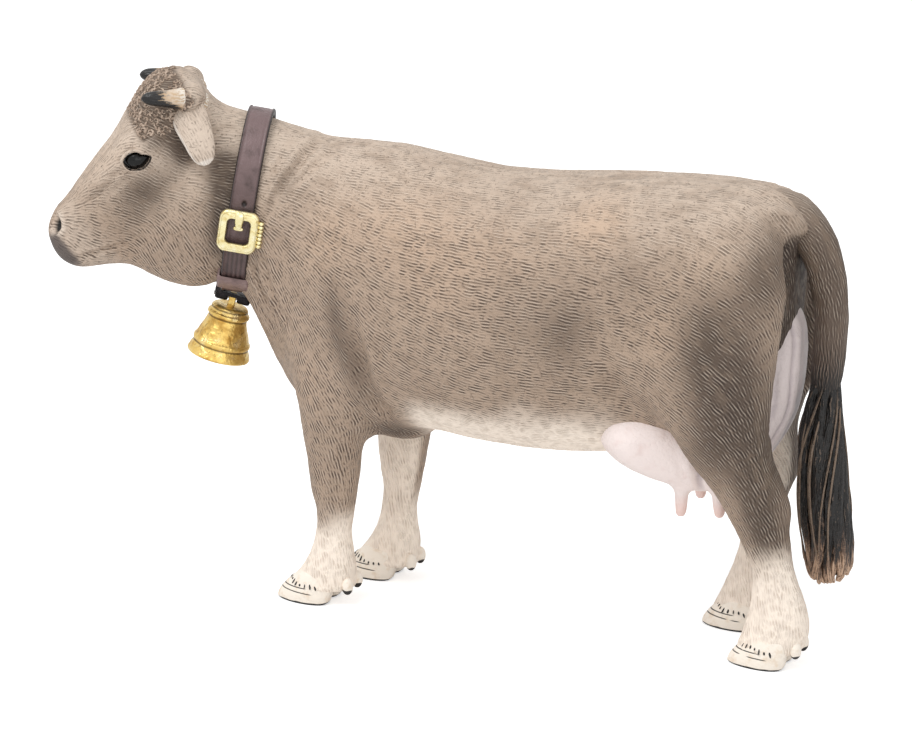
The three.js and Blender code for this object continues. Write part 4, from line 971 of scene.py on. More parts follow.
def curl_piece(forehead, material):
    """Small curls that crowd the forehead, each a hook of hair lying on the skin."""
    named = {"Spacing": "Float", "Curl": "Float", "Thickness": "Float", "Seed": "Int"}
    tree, given = growth_tree("forehead_curls", **named)
    faces = {"Mesh": given["Geometry"], "Seed": given["Seed"]}
    faces |= {"Distance Min": given["Spacing"], "Density Max": 4e6}
    kind = "GeometryNodeDistributePointsOnFaces"
    spots_on_skin = add_node(tree, kind, faces, distribute_method="POISSON")
    arc = {"Resolution": 11, "Radius": given["Curl"], "Sweep Angle": CURL_SWEEP}
    hook = add_node(tree, "GeometryNodeCurveArc", arc, mode="RADIUS")
    way = add_node(tree, "GeometryNodeSplineParameter", out="Factor")
    taper = add_node(tree, "ShaderNodeMapRange", {0: way, 3: 1.0, 4: CURL_TIP})
    profile = {"Resolution": 7, "Radius": given["Thickness"]}
    ring = add_node(tree, "GeometryNodeCurvePrimitiveCircle", profile, mode="RADIUS")
    body = {"Curve": hook, "Profile Curve": ring, "Scale": taper, "Fill Caps": True}
    curl = add_node(tree, "GeometryNodeCurveToMesh", body)
    place = add_node(tree, "GeometryNodeInputPosition")
    height = add_node(tree, "ShaderNodeSeparateXYZ", {0: place}, out="Z")
    share = add_node(tree, "ShaderNodeMath", {0: height, 1: given["Thickness"]}, operation="DIVIDE")
    # The height within a curl, which the material reads to paint shade low down between the curls
    stored = {"Geometry": curl, "Name": "lift", "Value": share}
    curl = add_node(tree, "GeometryNodeStoreNamedAttribute", stored, data_type="FLOAT", domain="POINT")
    angle = add_node(tree, "FunctionNodeRandomValue", {2: 0.0, 3: 2 * math.pi, "Seed": given["Seed"]}, out=1)
    spin = add_node(tree, "FunctionNodeAxisAngleToRotation", {"Axis": (0, 0, 1), "Angle": angle})
    pose = {"Rotation": spots_on_skin.node.outputs["Rotation"], "Rotate By": spin}
    turned = add_node(tree, "FunctionNodeRotateRotation", pose, rotation_space="LOCAL")
    least, most = CURL_SIZES
    size = add_node(tree, "FunctionNodeRandomValue", {2: least, 3: most, "Seed": 5}, out=1)
    placed = {"Points": spots_on_skin, "Instance": curl, "Rotation": turned, "Scale": size}
    result = add_node(tree, "GeometryNodeInstanceOnPoints", placed)
    patch = new_object("forehead_curls", *forehead)
    return smooth_shaded(grown(patch, tree, result, material, **CURLS), 60)


def neck_dark(reach, z):
    """The dark band of painted shade on the neck just in front of the collar."""
    return 1.1 * bump(reach - 39.0, 3.6) * within(z, (56, 62), (74, 79))


# Eyes, horns and ears
def path_points(shares, hand, count):
    """A smooth curve through places on the head, given in shares of its sizes."""
    rows = np.asarray(shares, float)
    keyed = np.column_stack([np.linspace(0, 1, len(rows)), rows])
    at = rows_at(keyed, np.linspace(0, 1, count))[:, 1:]
    return head_point(at[:, 0] * HEAD_LENGTH, at[:, 1] * HEAD_DEPTH, -hand * at[:, 2] * HEAD_HALF)


def frames_along(path, side):
    """Directions across a path that keep square to it, with the first one near a given side."""
    tangent = unit(np.gradient(path, axis=0))
    up = unit(np.cross(tangent, side))
    return np.cross(up, tangent), up, tangent


EYE_LEVEL, EYE_BULGE, EYE_BACK = 7.9, 0.95, 1.6  # how far out from the middle plane, in mm
LID_LEVEL, LID_RADIUS, LID_SIDES = 8.62, 0.3, 14


def eye_ring(share, level, hand):
    """A ring that follows the eye's outline, as points all round it."""
    turn = full_turn(72)
    edge = 1 / eye_ratio(EYE_MIDDLE[0] + np.cos(turn), EYE_MIDDLE[1] + np.sin(turn))
    s, t = EYE_MIDDLE[0] + share * edge * np.cos(turn), EYE_MIDDLE[1] + share * edge * np.sin(turn)
    return head_point(s, t, np.full(len(turn), -hand * level))


def eye_piece(name, hand):
    shares = np.concatenate([[0.05, 1.05], np.linspace(1.05, 0.02, 24)])
    levels = EYE_LEVEL + EYE_BULGE * (1 - np.minimum(shares, 1) ** 2)
    levels[:2] = EYE_LEVEL - EYE_BACK
    rings = np.stack([eye_ring(*place, hand) for place in zip(shares, levels)])
    corners = np.vstack([rings.reshape(-1, 3), rings[0, :1], rings[-1, :1]])
    # How far below the eye's middle a point lies, for the painted reflection in its lower half
    low = EYE_MIDDLE[1] - head_coords(corners)[1]
    return smooth_shaded(new_object(name, *loft(rings), lower=0.5 + low / 3))


def lid_piece(name, hand):
    """The lids: a roll of skin round the eye, thick above it and thin below."""
    path = eye_ring(1.12, LID_LEVEL, hand)
    around = np.roll(path, -1, axis=0) - np.roll(path, 1, axis=0)
    out = -hand * head_left
    side = unit(np.cross(unit(around), out))
    above = (path - head_point(*EYE_MIDDLE, -hand * LID_LEVEL)) @ (FACE_UP - 0.4 * FACE)
    upper = smooth_step(above, -0.8, 1.0)
    radius = LID_RADIUS * (0.45 + 0.55 * upper)
    points, faces = tube(path, side, out, radius, LID_SIDES, closed=True)
    # The paler upper lid is a painted highlight
    tones = {
        "cream": np.repeat(0.2 * upper, LID_SIDES),
        "flow": unit(np.repeat(around, LID_SIDES, axis=0)),
        "dark": np.full(len(points), 0.1),
    }
    return smooth_shaded(new_object(name, points, faces, **tones))


HORN_PATH_SHARES = [[-0.3, 0.25, 0.45], [-0.275, 0.325, 0.8], [-0.225, 0.4, 1.0], [-0.135, 0.51, 1.07]]
EAR_PATH_SHARES = [
    [-0.26, 0.29, 0.62], [-0.245, 0.25, 0.95], [-0.22, 0.13, 1.17], [-0.175, -0.035, 1.33],
]
EAR_SHARES = [
    [0, 0.7, 1.3], [0.14, 0.92, 1.2], [0.32, 1.06, 0.95], [0.52, 1.04, 0.75], [0.72, 0.9, 0.62],
    [0.87, 0.74, 0.5], [0.96, 0.5, 0.4], [1, 0.18, 0.2],
]
HORN_RADIUS, HORN_TIP_RADIUS = 2.2, 0.95
HORN_DOME = 0.12  # share of the horn's length over which its tip rounds off
HORN_RINGS = (0.02, 34)  # how deep its growth rings are, and how close
EAR_HALF, EAR_THICK, EAR_CUP, EAR_TUFT_DEPTH = 2.8, 1.7, 0.5, 0.06


def horn_piece(name, hand):
    count, sides = 60, 40
    path = path_points(HORN_PATH_SHARES, hand, count)
    t = np.linspace(0, 1, count)
    side, up, tangent = frames_along(path, UP)
    dome = np.sqrt(np.maximum(1 - np.maximum((t - 1) / HORN_DOME + 1, 0) ** 2, 0.02))
    radius = (HORN_RADIUS + (HORN_TIP_RADIUS - HORN_RADIUS) * t**1.3) * dome
    radius = radius * (1 + HORN_RINGS[0] * np.sin(t * HORN_RINGS[1]) * (1 - t))
    points, faces = tube(path, side, up, radius, sides)
    below = (capped(path, sides) - points) @ UP / capped(radius, sides)
    tones = {"along": capped(t, sides), "under": below, "flow": capped(tangent, sides)}
    return smooth_shaded(new_object(name, points, faces, **tones))


def ear_piece(name, hand):
    count, sides = 90, 64
    path = path_points(EAR_PATH_SHARES, hand, count)
    rows = rows_at(EAR_SHARES, np.linspace(0, 1, count))
    side, up, tangent = frames_along(path, FACE)
    inward = np.where(((up @ head_left) * -hand > 0)[:, None], -up, up)
    half, thick = rows[:, 1] * EAR_HALF, rows[:, 2] * EAR_THICK / 2
    rings = rings_of(path, side, inward, half, thick, thick, 2, 2, sides)
    across = np.cos(full_turn(sides))
    t = rows[:, :1]
    cup = EAR_CUP * (across[None, :] ** 2 - 0.35) * smooth_step(t, 0.1, 0.4) * (1 - 0.4 * t)
    rings = rings + cup[..., None] * inward[:, None]
    points, faces = loft(rings)
    flow = capped(tangent, sides)
    hair = strands(points, flow, TUFT_CELL, TUFT_REACH, seed=9)
    points = points + unit(points - capped(path, sides)) * (EAR_TUFT_DEPTH * hair)[:, None]
    edge = np.concatenate([np.tile(np.maximum(across, 0) ** 5, count), [0, 1]])
    edge = np.maximum(edge, capped(smooth_step(rows[:, 0], 0.9, 1.0), sides))
    tones = {"hair": hair, "flow": flow, "edge": edge, "cream": np.full(len(points), 0.22)}
    return smooth_shaded(new_object(name, points, faces, **tones))


# Tail
TAIL_SHARES = [
    [0.708, 0.92, 1], [0.794, 0.942, 1.192], [0.871, 0.932, 1.308], [0.928, 0.889, 1.269],
    [0.963, 0.824, 1.154], [0.98, 0.74, 1.038], [0.978, 0.655, 1], [0.972, 0.592, 1],
    [0.966, 0.526, 1.135], [0.966, 0.441, 1.462], [0.977, 0.336, 1.615], [0.997, 0.239, 1.615],
    [1.009, 0.187, 1.192], [1.015, 0.168, 0.577],
]
SWITCH_REACH = 67.5  # how far behind the middle of the barrel the locks' middles may lie
SWITCH_EASE = 0.3  # over how many mm they are held back there
SWITCH_START, SWITCH_END = 0.5, 0.66  # shares of the tail's path over which the locks begin


def tail_line(stations):
    """Places along the tail, and its radius there."""
    keyed = np.column_stack([np.linspace(0, 1, len(TAIL_SHARES)), TAIL_SHARES])
    rows = rows_at(keyed, stations)
    path = np.column_stack([rows[:, 1] * TAIL_REACH, np.zeros(len(rows)), rows[:, 2] * WITHERS])
    return path, np.maximum(rows[:, 3], 0.05) * TAIL_RADIUS


def tail_piece():
    count, sides = 240, 72
    stations = np.linspace(0, 0.95, count)
    path, radius = tail_line(stations)
    side, up, tangent = frames_along(path, RIGHTWARD)
    radius = radius * (1 - 0.6 * smooth_step(stations, SWITCH_START, SWITCH_END))
    points, faces = tube(path, side, up, radius, sides)
    flow = capped(tangent, sides)
    hair = strands(points, flow, TUFT_CELL, TUFT_REACH, seed=13)
    points = points + unit(points - capped(path, sides) + 1e-6) * (TUFT_DEPTH * hair)[:, None]
    shade = capped(0.3 + 0.6 * smooth_step(stations, 0.03, 0.3), sides)
    piece = new_object("hide_tail", points, faces, hair=hair, flow=flow, dark=shade)
    return smooth_shaded(piece, 60)


LOCKS, LOCK_SEED = 64, 60
LOCK_VALUES = [  # middle and spread of a lock's start and end along the tail, and of its
    (0.53, 0.05), (0.965, 0.045), (0.0, 3.0), (1.3, 0.6), (0.86, 0.12),  # phase, flare and thickness
]


def switch_piece(material):
    """The tail's switch: locks of hair along guide lines that spread and curl towards the tip."""
    steps = 26
    t = np.linspace(0, 1, steps)
    lock = np.arange(LOCKS)[:, None]
    turn = lock * math.pi * (3 - math.sqrt(5))
    start, end, phase, flare, thick = (
        middle + spread * hashed(np.full((LOCKS, 3), k) + lock, LOCK_SEED + k)[:, None]
        for k, (middle, spread) in enumerate(LOCK_VALUES)
    )
    place, radius = tail_line(np.clip((start + (end - start) * t).ravel(), 0, 1))
    place, radius = place.reshape(LOCKS, steps, 3), radius.reshape(LOCKS, steps)
    side, up, _ = frames_along(place[0], RIGHTWARD)
    pale = lock % 4 == 1
    depth = np.where(lock % 3 == 0, 0.45, 0.8) + 0.24 * pale
    sweep = turn + 1.5 * t + 0.3 * np.sin(5 * t + phase)
    reach = radius * depth * smooth_step(t, -0.25, 0.3)
    reach = reach + flare * smooth_step(t, 0.7, 1.0)
    path = place + reach[..., None] * (np.cos(sweep)[..., None] * side + np.sin(sweep)[..., None] * up)
    path[..., 0] -= np.logaddexp(0, (path[..., 0] - SWITCH_REACH) / SWITCH_EASE) * SWITCH_EASE
    thick = thick * np.sin(np.clip(0.22 + 0.72 * t, 0, 0.94) * math.pi) ** 0.7
    thick = thick * np.where(pale, 0.2 + 0.7 * smooth_step(t, 0.72, 1.0), 1.0)
    edges = [(i * steps + k, i * steps + k + 1) for i in range(LOCKS) for k in range(steps - 1)]
    tones = {
        "thickness": thick.ravel() * MM,
        "along": np.tile(t, LOCKS),
        "hue": np.repeat(1.0 * pale[:, 0], steps),
        "flow": unit(np.gradient(path, axis=1)).reshape(-1, 3),
    }
    guides = new_object("tail_switch", path.reshape(-1, 3), [], edges, **tones)
    tree, given = growth_tree("tail_locks", Sides="Int")
    curves = add_node(tree, "GeometryNodeMeshToCurve", {"Mesh": given["Geometry"]})
    size = add_node(tree, "GeometryNodeInputNamedAttribute", {"Name": "thickness"}, data_type="FLOAT")
    ring = add_node(tree, "GeometryNodeCurvePrimitiveCircle", {"Resolution": given["Sides"], "Radius": 1.0})
    body = {"Curve": curves, "Profile Curve": ring, "Scale": size, "Fill Caps": True}
    result = add_node(tree, "GeometryNodeCurveToMesh", body)
    return smooth_shaded(grown(guides, tree, result, material, Sides=10), 70)


# Hooves: two claws with a cleft between them, and two dewclaws behind
CLAW_ROWS = [  # height, front and back ahead of the foot's axis and half width, in mm
    [0.0, 10.0, 1.4, 1.85], [0.3, 10.5, 1.0, 2.1], [0.7, 10.5, 0.8, 2.2], [1.6, 10.1, 0.5, 2.25],
    [3.0, 9.0, 0.2, 2.15], [4.2, 7.7, 0.1, 1.95], [5.2, 6.4, 0.3, 1.6], [5.7, 5.2, 0.9, 1.1],
]
CLAW_APART, CLAW_BEND = 2.2, 0.7  # of a claw's middle from the foot's, and how far its toe turns in
SOLE_LINE, LINE_WIDTH, LINE_DEPTH = (0.28, 0.5), 0.1, 0.1
TOE_LINES = [(1.75, 0.05, (2.4, 4.0)), (2.75, 0.02, (3.6, 5.0))]  # height, rise, where they begin
CLAW_MIDDLE = 4.0  # of a claw ahead of the foot's axis
HIND_SET = 5.4  # how much further back the hind claws lie on the foot's axis
DEWCLAW = (-2.4, 2.0, 3.5)  # ahead of the axis, from the foot's middle, above the ground
DEWCLAW_HIND = 1.5  # how much further ahead of the claws' axis those of the hind feet lie
DEWCLAW_SIZE = (1.5, 0.95, 1.0)


def feet():
    """Each foot's place on the ground: distance along x, and its side."""
    for shares, reach, step, _, hip, hand in LEGS.values():
        hind = shares is HIND_LEG_SHARES
        yield leg_axis(0.0, reach, step, hip) + HIND_SET * hind, hand, DEWCLAW_HIND * hind


def claw_shell(x, y, end):
    count = 76
    rows = rows_at(CLAW_ROWS, np.linspace(0, CLAW_ROWS[-1][0], count))
    middle, half = (rows[:, 1] + rows[:, 2]) / 2, (rows[:, 1] - rows[:, 2]) / 2
    centre = np.column_stack([x - middle, np.full(count, y + end * CLAW_APART), rows[:, 0]])
    rings = rings_of(centre, RIGHTWARD, FORWARD, rows[:, 3], half, half, 2.1, 3, 96)
    forward = (x - rings[..., 0]) / CLAW_ROWS[2][1]
    rings[..., 1] -= end * CLAW_BEND * smooth_step(forward, 0.35, 1.0)
    return loft(rings)


def drawn_lines(points, x):
    """Ink on the claws: the sole's edge, and two lines across the toe."""
    z, forward = points[:, 2], x - points[:, 0]
    sole = 1 - smooth_step(z + 0.12 * noise(points, 1.0, seed=71), *SOLE_LINE)
    broken = smooth_step(noise(points, 1.8, seed=72), -0.75, -0.2)
    toe = [
        bump(z - line - slope * forward, LINE_WIDTH) * smooth_step(forward, *start)
        for line, slope, start in TOE_LINES
    ]
    return np.maximum(sole, np.maximum(*toe) * broken)


def hoof_piece():
    shells, ink = [], []
    for x, hand, closer in feet():
        y = hand * TRACK_HALF
        for end in (LEFT, RIGHT):
            points, faces = claw_shell(x, y, end)
            lines = drawn_lines(points, x)
            middle = np.array([x - CLAW_MIDDLE, y + end * CLAW_APART, 0.0])
            inward = unit((middle - points) * [1, 1, 0])
            points = points + inward * (LINE_DEPTH * lines * (points[:, 2] > 0.6))[:, None]
            ahead, aside, above = DEWCLAW
            centre = np.array([x - ahead - closer, y + end * aside, above])
            nub = egg_shell(centre, (UP, -FORWARD, RIGHTWARD), DEWCLAW_SIZE)
            below = centre[2] - nub[0][:, 2] + 0.5 * noise(nub[0], 0.9, seed=73)
            shells += [(points, faces), nub]
            ink += [lines, smooth_step(below, 0.35, 0.8)]
    piece = new_object("hooves", *merged(shells), ink=np.concatenate(ink))
    return smooth_shaded(piece, 50)


TUFTS, TUFTS_FROM, TUFTS_STEP = 11, -18, 13.5  # over each claw, in degrees from its front
CORONET_FRONT, CORONET_FALL = 4.35, 1.2  # height of the tufts in front, and how far their row falls
CORONET_TUFTS = {"Width": 0.14 * MM, "Length": 0.52 * MM, "Seed": 9}
TUFT_LEAST, TUFT_MOST = (0.7, 0.7, 0.4), (1.3, 1.3, 1.3)  # how much a tuft may be scaled


def tuft_piece(material):
    """Short tufts painted black over each coronet, placed along its arc."""
    places, ways = [], []
    for x, hand, _ in feet():
        y = hand * TRACK_HALF
        for end in (LEFT, RIGHT):
            for k in range(TUFTS):
                angle = math.radians(TUFTS_FROM + TUFTS_STEP * k)
                jitter = 0.3 * math.sin(7.3 * k + 3 * end + x)
                level = CORONET_FRONT - CORONET_FALL * (k / (TUFTS - 1)) + 0.5 * jitter
                row = rows_at(CLAW_ROWS, level)[0]
                half, middle = (row[1] - row[2]) / 2, (row[1] + row[2]) / 2
                out = np.array([-math.cos(angle), end * math.sin(angle), 0.0])
                reach = np.array([half * 0.97, row[3], 0.0])
                claw = np.array([x - middle, y + end * CLAW_APART - end * 0.35 * math.cos(angle), level])
                places.append(claw + out * reach)
                ways.append(unit(out * [0.9, 0.5, 0] + np.array([0.25 * jitter, 0, -0.9])))
    piece = new_object("coronet_tufts", np.array(places), [], hang=np.array(ways))
    tree, given = growth_tree("coronet_tufts", Width="Float", Length="Float", Seed="Int")
    points = add_node(tree, "GeometryNodeMeshToPoints", {"Mesh": given["Geometry"]})
    tuft = add_node(tree, "GeometryNodeMeshIcoSphere", {"Radius": 1.0, "Subdivisions": 3})
    long = {"X": given["Width"], "Y": given["Width"], "Z": given["Length"]}
    size = add_node(tree, "ShaderNodeCombineXYZ", long)
    hang = add_node(tree, "GeometryNodeInputNamedAttribute", {"Name": "hang"}, data_type="FLOAT_VECTOR")
    pose = add_node(tree, "FunctionNodeAlignRotationToVector", {"Vector": hang}, axis="Z")
    chance = {0: TUFT_LEAST, 1: TUFT_MOST, "Seed": given["Seed"]}
    chance = add_node(tree, "FunctionNodeRandomValue", chance, data_type="FLOAT_VECTOR")
    scale = add_node(tree, "ShaderNodeVectorMath", {0: size, 1: chance}, operation="MULTIPLY")
    placed = {"Points": points, "Instance": tuft, "Rotation": pose, "Scale": scale}
    result = add_node(tree, "GeometryNodeInstanceOnPoints", placed)
    return smooth_shaded(grown(piece, tree, result, material, **CORONET_TUFTS), 60)


# Udder
UDDER_SHARES = [
    [0, 0.51, 0.44, 0.5], [0.04, 0.54, 0.405, 1.15], [0.12, 0.56, 0.378, 1.5],
    [0.22, 0.57, 0.358, 1.58], [0.328, 0.57, 0.34, 1.4], [0.469, 0.57, 0.326, 1.12],
    [0.609, 0.6, 0.333, 1], [0.734, 0.65, 0.364, 0.884], [0.859, 0.715, 0.424, 0.74],
    [0.953, 0.745, 0.496, 0.52], [1, 0.715, 0.568, 0.233],
]
TEAT_SHARES = [[0.425, 0.5], [0.607, 0.42]]
TEAT_LENGTH, TEAT_RADIUS, TEAT_SPLAY = 5.0, 1.15, math.radians(7)
TEAT_SLANT = 0.09  # how far the rear teats point back, per mm down
QUARTERS = [  # the grooves between the udder's quarters: width, depth and points (x, z)
    (0.7, 0.45, (44.0, 24.5), (45.0, 30.0), (44.5, 37.0)),
    (0.5, 0.3, (53.5, 33.0), (54.6, 39.0), (54.2, 46.0)),
    (0.4, 0.2, (51.0, 29.0), (52.6, 34.5), (52.4, 41.0)),
]
PLEATS = [(1.2, 0.2), (3.2, 0.35), (5.4, 0.3)]  # behind: distance from the middle, and depth
PLEAT_WIDTH = 0.42


def teat_shell(along, across, hand):
    bottom = rows_at(UDDER_SHARES, along)[0][2] * WITHERS
    x, y = UDDER_REACH + along * UDDER_LENGTH, hand * across * UDDER_HALF
    root = np.array([x, y, bottom + 2 * TEAT_RADIUS])
    back = TEAT_SLANT if along > 0.5 else 0.0
    down = unit(np.array([back, hand * math.tan(TEAT_SPLAY), -1.0]))
    t = np.linspace(0, 1, 30)
    length = TEAT_LENGTH + TEAT_RADIUS
    path = root + (t * length)[:, None] * down
    swell = TEAT_RADIUS * (1.7 - 0.75 * smooth_step(t, 0, 0.45) - 0.2 * smooth_step(t, 0.45, 1))
    radius = swell * np.sqrt(np.maximum(1 - np.maximum((t - 0.86) / 0.14, 0) ** 2, 0.02))
    side, up, _ = frames_along(path, -FORWARD)
    return tube(path, side, up, radius, 28)


def udder_piece():
    count = 80
    rows = rows_at(UDDER_SHARES, np.linspace(0, 1, count))
    depth = (rows[:, 1] - rows[:, 2]) * WITHERS / 2
    level = (rows[:, 1] + rows[:, 2]) * WITHERS / 2
    centre = np.column_stack([UDDER_REACH + rows[:, 0] * UDDER_LENGTH, np.zeros(count), level])
    bag = loft(rings_of(centre, RIGHTWARD, UP, rows[:, 3] * UDDER_HALF, depth, depth, 2, 2, 64))
    teats = [teat_shell(*place, hand) for hand in (LEFT, RIGHT) for place in TEAT_SHARES]
    points, quads = remeshed([bag, *teats], UDDER_VOXEL)
    apart = np.maximum(distances([bag], points), distances(teats, points))
    points = relaxed(points, edges_of(quads), 0.8 * bump(apart, UDDER_BLEND) + 0.15, 14)
    normals = normals_of(points, quads)
    x, y, z = points.T
    middle = 0.7 * bump(y, 0.8) * smooth_step(-normals[:, 2], 0.0, 0.5)
    veins = 0.12 * np.clip(noise(points + 3 * noise(points, 5.0, seed=31)[:, None], 2.2, seed=30), 0, 1)
    behind = smooth_step(normals[:, 0], 0.25, 0.6) * smooth_step(z, 27, 33)
    wavy = np.abs(y) + 0.25 * np.sin(z * 0.5)
    pleats = sum(depth * bump(wavy - at, PLEAT_WIDTH) for at, depth in PLEATS)
    lift = creases(x, z, QUARTERS) * smooth_step(np.abs(normals[:, 1]), 0.2, 0.6) - middle + veins
    lift -= pleats * behind
    points = points + normals * (lift * smooth_step(z, 21, 26))[:, None]
    # groove: how deep a fold lies, for the painted shade that the material puts in the folds
    piece = new_object("udder_bag", points, quads, groove=np.clip(-lift * 2.2, 0, 1))
    return smooth_shaded(piece, 60)


# Collar: a strap round the neck, its keeper and its buckle
STRAP_WIDTH, STRAP_THICKNESS, FIT = 4.2, 1.0, 0.3
STRAP_HOLE, HOLE_RADIUS = (35.2, 68.6), 0.5  # the spare hole: distance along the spine, and height
KEEPER_LENGTH, KEEPER_ANGLE, BUCKLE_ANGLE = 3.0, math.radians(-52), math.radians(-7)
BUCKLE_SIZE, BUCKLE_TALL = 6.5, 1.1  # width of the frame, and its height as a share of it


def neck_reach(column):
    level = neck_row[3] * WITHERS
    straight = neck_row[column] * WITHERS - level
    shifted = COLLAR_REACH - straight * math.tan(COLLAR_LEAN)
    row = rows_at(TORSO_SHARES, (shifted + RUMP) / TORSO)[0]
    return abs(row[column] * WITHERS - level) / math.cos(COLLAR_LEAN)


NECK_HALF, NECK_RISE, NECK_DROP = neck_row[4] * BARREL_HALF, neck_reach(1), neck_reach(2)


def round_neck(angle, out, along):
    """Points at angles round the neck, out from its skin and along the collar's axis."""
    c, s = np.cos(angle), np.sin(angle)
    tall = np.where(s >= 0, NECK_RISE, NECK_DROP)
    sideways = ((NECK_HALF + out) * c)[..., None] * COLLAR_LEFT
    upwards = ((tall + out) * s)[..., None] * COLLAR_UP
    return COLLAR_CENTRE + sideways + upwards + along[..., None] * COLLAR_AXIS


EDGE, FLAT = STRAP_WIDTH / 2, STRAP_WIDTH / 2 - 0.1  # from the strap's middle to its edges and flats
EDGE_TALL = 0.36  # half height of the rounded edge
BEAD = (1.85, 0.16, 0.14)  # a raised bead along each edge: from the middle, width and height
BEAD_GROOVE = (1.5, 0.14, 0.1)  # and the groove beside it
ALL_ROUND = 400  # stations round the neck
STRAP_END = ((-50, -46), (-24, -20))  # where its ribbed end begins and ends, in degrees
RIB_SPACING, RIB_DEPTH, HOLE_DEPTH = 0.75, 0.16, 0.4


def strap_section():
    """Outline of the strap as (along the neck, outwards), finer on its outside."""
    half = STRAP_THICKNESS / 2
    sides = [EDGE_TALL, 0.0, -EDGE_TALL]
    outside, inside = np.linspace(FLAT, -FLAT, 21), np.linspace(-FLAT, FLAT, 9)
    along = [*outside, -EDGE, -EDGE, -EDGE, *inside, EDGE, EDGE, EDGE]
    out = [*np.full(21, half), *sides, *np.full(9, -half), *sides[::-1]]
    return np.array(along), np.array(out)


def strap_piece():
    """The strap, with its spare hole, its beaded edges and its ribbed end."""
    across, height = strap_section()
    angle = full_turn(ALL_ROUND)[:, None]
    along = np.broadcast_to(across, (ALL_ROUND, len(across)))
    out = np.broadcast_to(height, along.shape) + FIT + STRAP_THICKNESS / 2
    bead = BEAD[2] * bump(np.abs(along) - BEAD[0], BEAD[1])
    bead = bead - BEAD_GROOVE[2] * bump(np.abs(along) - BEAD_GROOVE[0], BEAD_GROOVE[1])
    out = out + (height > EDGE_TALL) * (bead - 0.06)
    rings = round_neck(np.broadcast_to(angle, along.shape), out, along)
    points, faces = loft(rings, closed=True)
    reach, _ = spine_coords(points)
    to_hole = np.hypot(reach - STRAP_HOLE[0], points[:, 2] - STRAP_HOLE[1]) / HOLE_RADIUS
    hole = (1 - smooth_step(to_hole, 0.7, 1.2)) * (points[:, 1] < COLLAR_CENTRE[1])
    turn = np.degrees(np.repeat(angle[:, 0], len(across))) - 360
    end = within(turn, *STRAP_END)
    width = along.ravel()
    ribs = 0.5 - 0.5 * np.cos(width * 2 * math.pi / RIB_SPACING)
    ribs = end * (np.abs(width) < BEAD_GROOVE[0]) * ribs
    sag = 0.05 * noise(points, 3.0, seed=41) + 0.025 * noise(points, 0.7, seed=42)
    sag = sag - HOLE_DEPTH * hole - RIB_DEPTH * ribs
    radial = unit(points - COLLAR_CENTRE - along_collar(points)[:, None] * COLLAR_AXIS)
    points = points + radial * (sag * np.tile(height > 0, ALL_ROUND))[:, None]
    rim = np.tile(bump(np.abs(across) - EDGE, 0.3), ALL_ROUND)
    # The edge tone: dark dye on the rims, and painted shade in the hole and in the grooves between the ribs
    edge = np.maximum(rim, np.maximum(hole, 0.6 * ribs))
    return smooth_shaded(new_object("collar_leather", points, faces, edge=edge), 50)


def strap_frame(angle):
    """A place on the strap's outside, with directions across it, along it and outwards."""
    reach = FIT + STRAP_THICKNESS
    c, s = math.cos(angle), math.sin(angle)
    tall = NECK_RISE if s >= 0 else NECK_DROP
    place = COLLAR_CENTRE + (NECK_HALF + reach) * c * COLLAR_LEFT + (tall + reach) * s * COLLAR_UP
    out = unit(c / (NECK_HALF + reach) * COLLAR_LEFT + s / (tall + reach) * COLLAR_UP)
    return place, COLLAR_AXIS, np.cross(out, COLLAR_AXIS), out


KEEPER_FIT, KEEPER_POWER = 0.15, 0.28  # its room round the strap, and how square its corners are
KEEPER_PROFILE = [  # share of its length, and how far out of the wall: the outside, then the bore
    (0.0, 0.06), (0.02, 0.35), (0.08, 0.45), (0.92, 0.45), (0.98, 0.35), (1.0, 0.06),
    (0.98, 0.0), (0.02, 0.0),
]


def keeper_piece():
    """The loop that holds the strap's end down."""
    turned = (NECK_HALF + 1) * math.sin(KEEPER_ANGLE), (NECK_DROP + 1) * math.cos(KEEPER_ANGLE)
    spread = KEEPER_LENGTH / 2 / math.hypot(*turned)
    half, thick = STRAP_WIDTH / 2 + KEEPER_FIT, STRAP_THICKNESS / 2 + KEEPER_FIT
    turn = full_turn(64)
    width, height = squared(np.cos(turn), KEEPER_POWER), squared(np.sin(turn), KEEPER_POWER)
    rings = []
    for share, grow in KEEPER_PROFILE:
        at = np.full(64, KEEPER_ANGLE - spread + share * 2 * spread)
        out = FIT + STRAP_THICKNESS / 2 + (thick + grow) * height
        rings.append(round_neck(at, out, (half + grow) * width))
    points, faces = loft(np.stack(rings), closed=True)
    return smooth_shaded(new_object("keeper_loop", points, faces), 50)


def rounded_square(half, corner, steps=10):
    """Outline of a square with round corners, as (across, along)."""
    outline = []
    for quadrant, (cu, cv) in enumerate(((1, 1), (-1, 1), (-1, -1), (1, -1))):
        for k in range(steps + 1):
            a = math.radians(90 * (quadrant + k / steps))
            across = cu * (half - corner) + corner * math.cos(a)
            outline.append((across, cv * (half - corner) + corner * math.sin(a)))
    return np.array(outline)


BUCKLE_SECTION = [  # inwards from the frame's edge, corner, height, and how dark the painted shade lies there, under the frame and in its inner corners
    (0.12, 1.35, 0.0, 1), (0.0, 1.4, 0.16, 0.5), (0.0, 1.4, 0.6, 0), (0.14, 1.3, 0.82, 0),
    (0.3, 1.2, 0.9, 0), (0.36, 1.15, 0.86, 0.6), (0.42, 1.1, 0.9, 0), (1.22, 0.75, 0.86, 0),
    (1.35, 0.7, 0.7, 0.5), (1.4, 0.7, 0.3, 1), (1.3, 0.75, 0.0, 1),
]
BAR_HALF, BAR_OUT, BAR_HEIGHT = 2.3, 0.35, 0.3  # half length, beyond the frame, above the strap
BAR_RADIUS, BEAD_SWELL, BEADS = 0.3, 0.18, 7


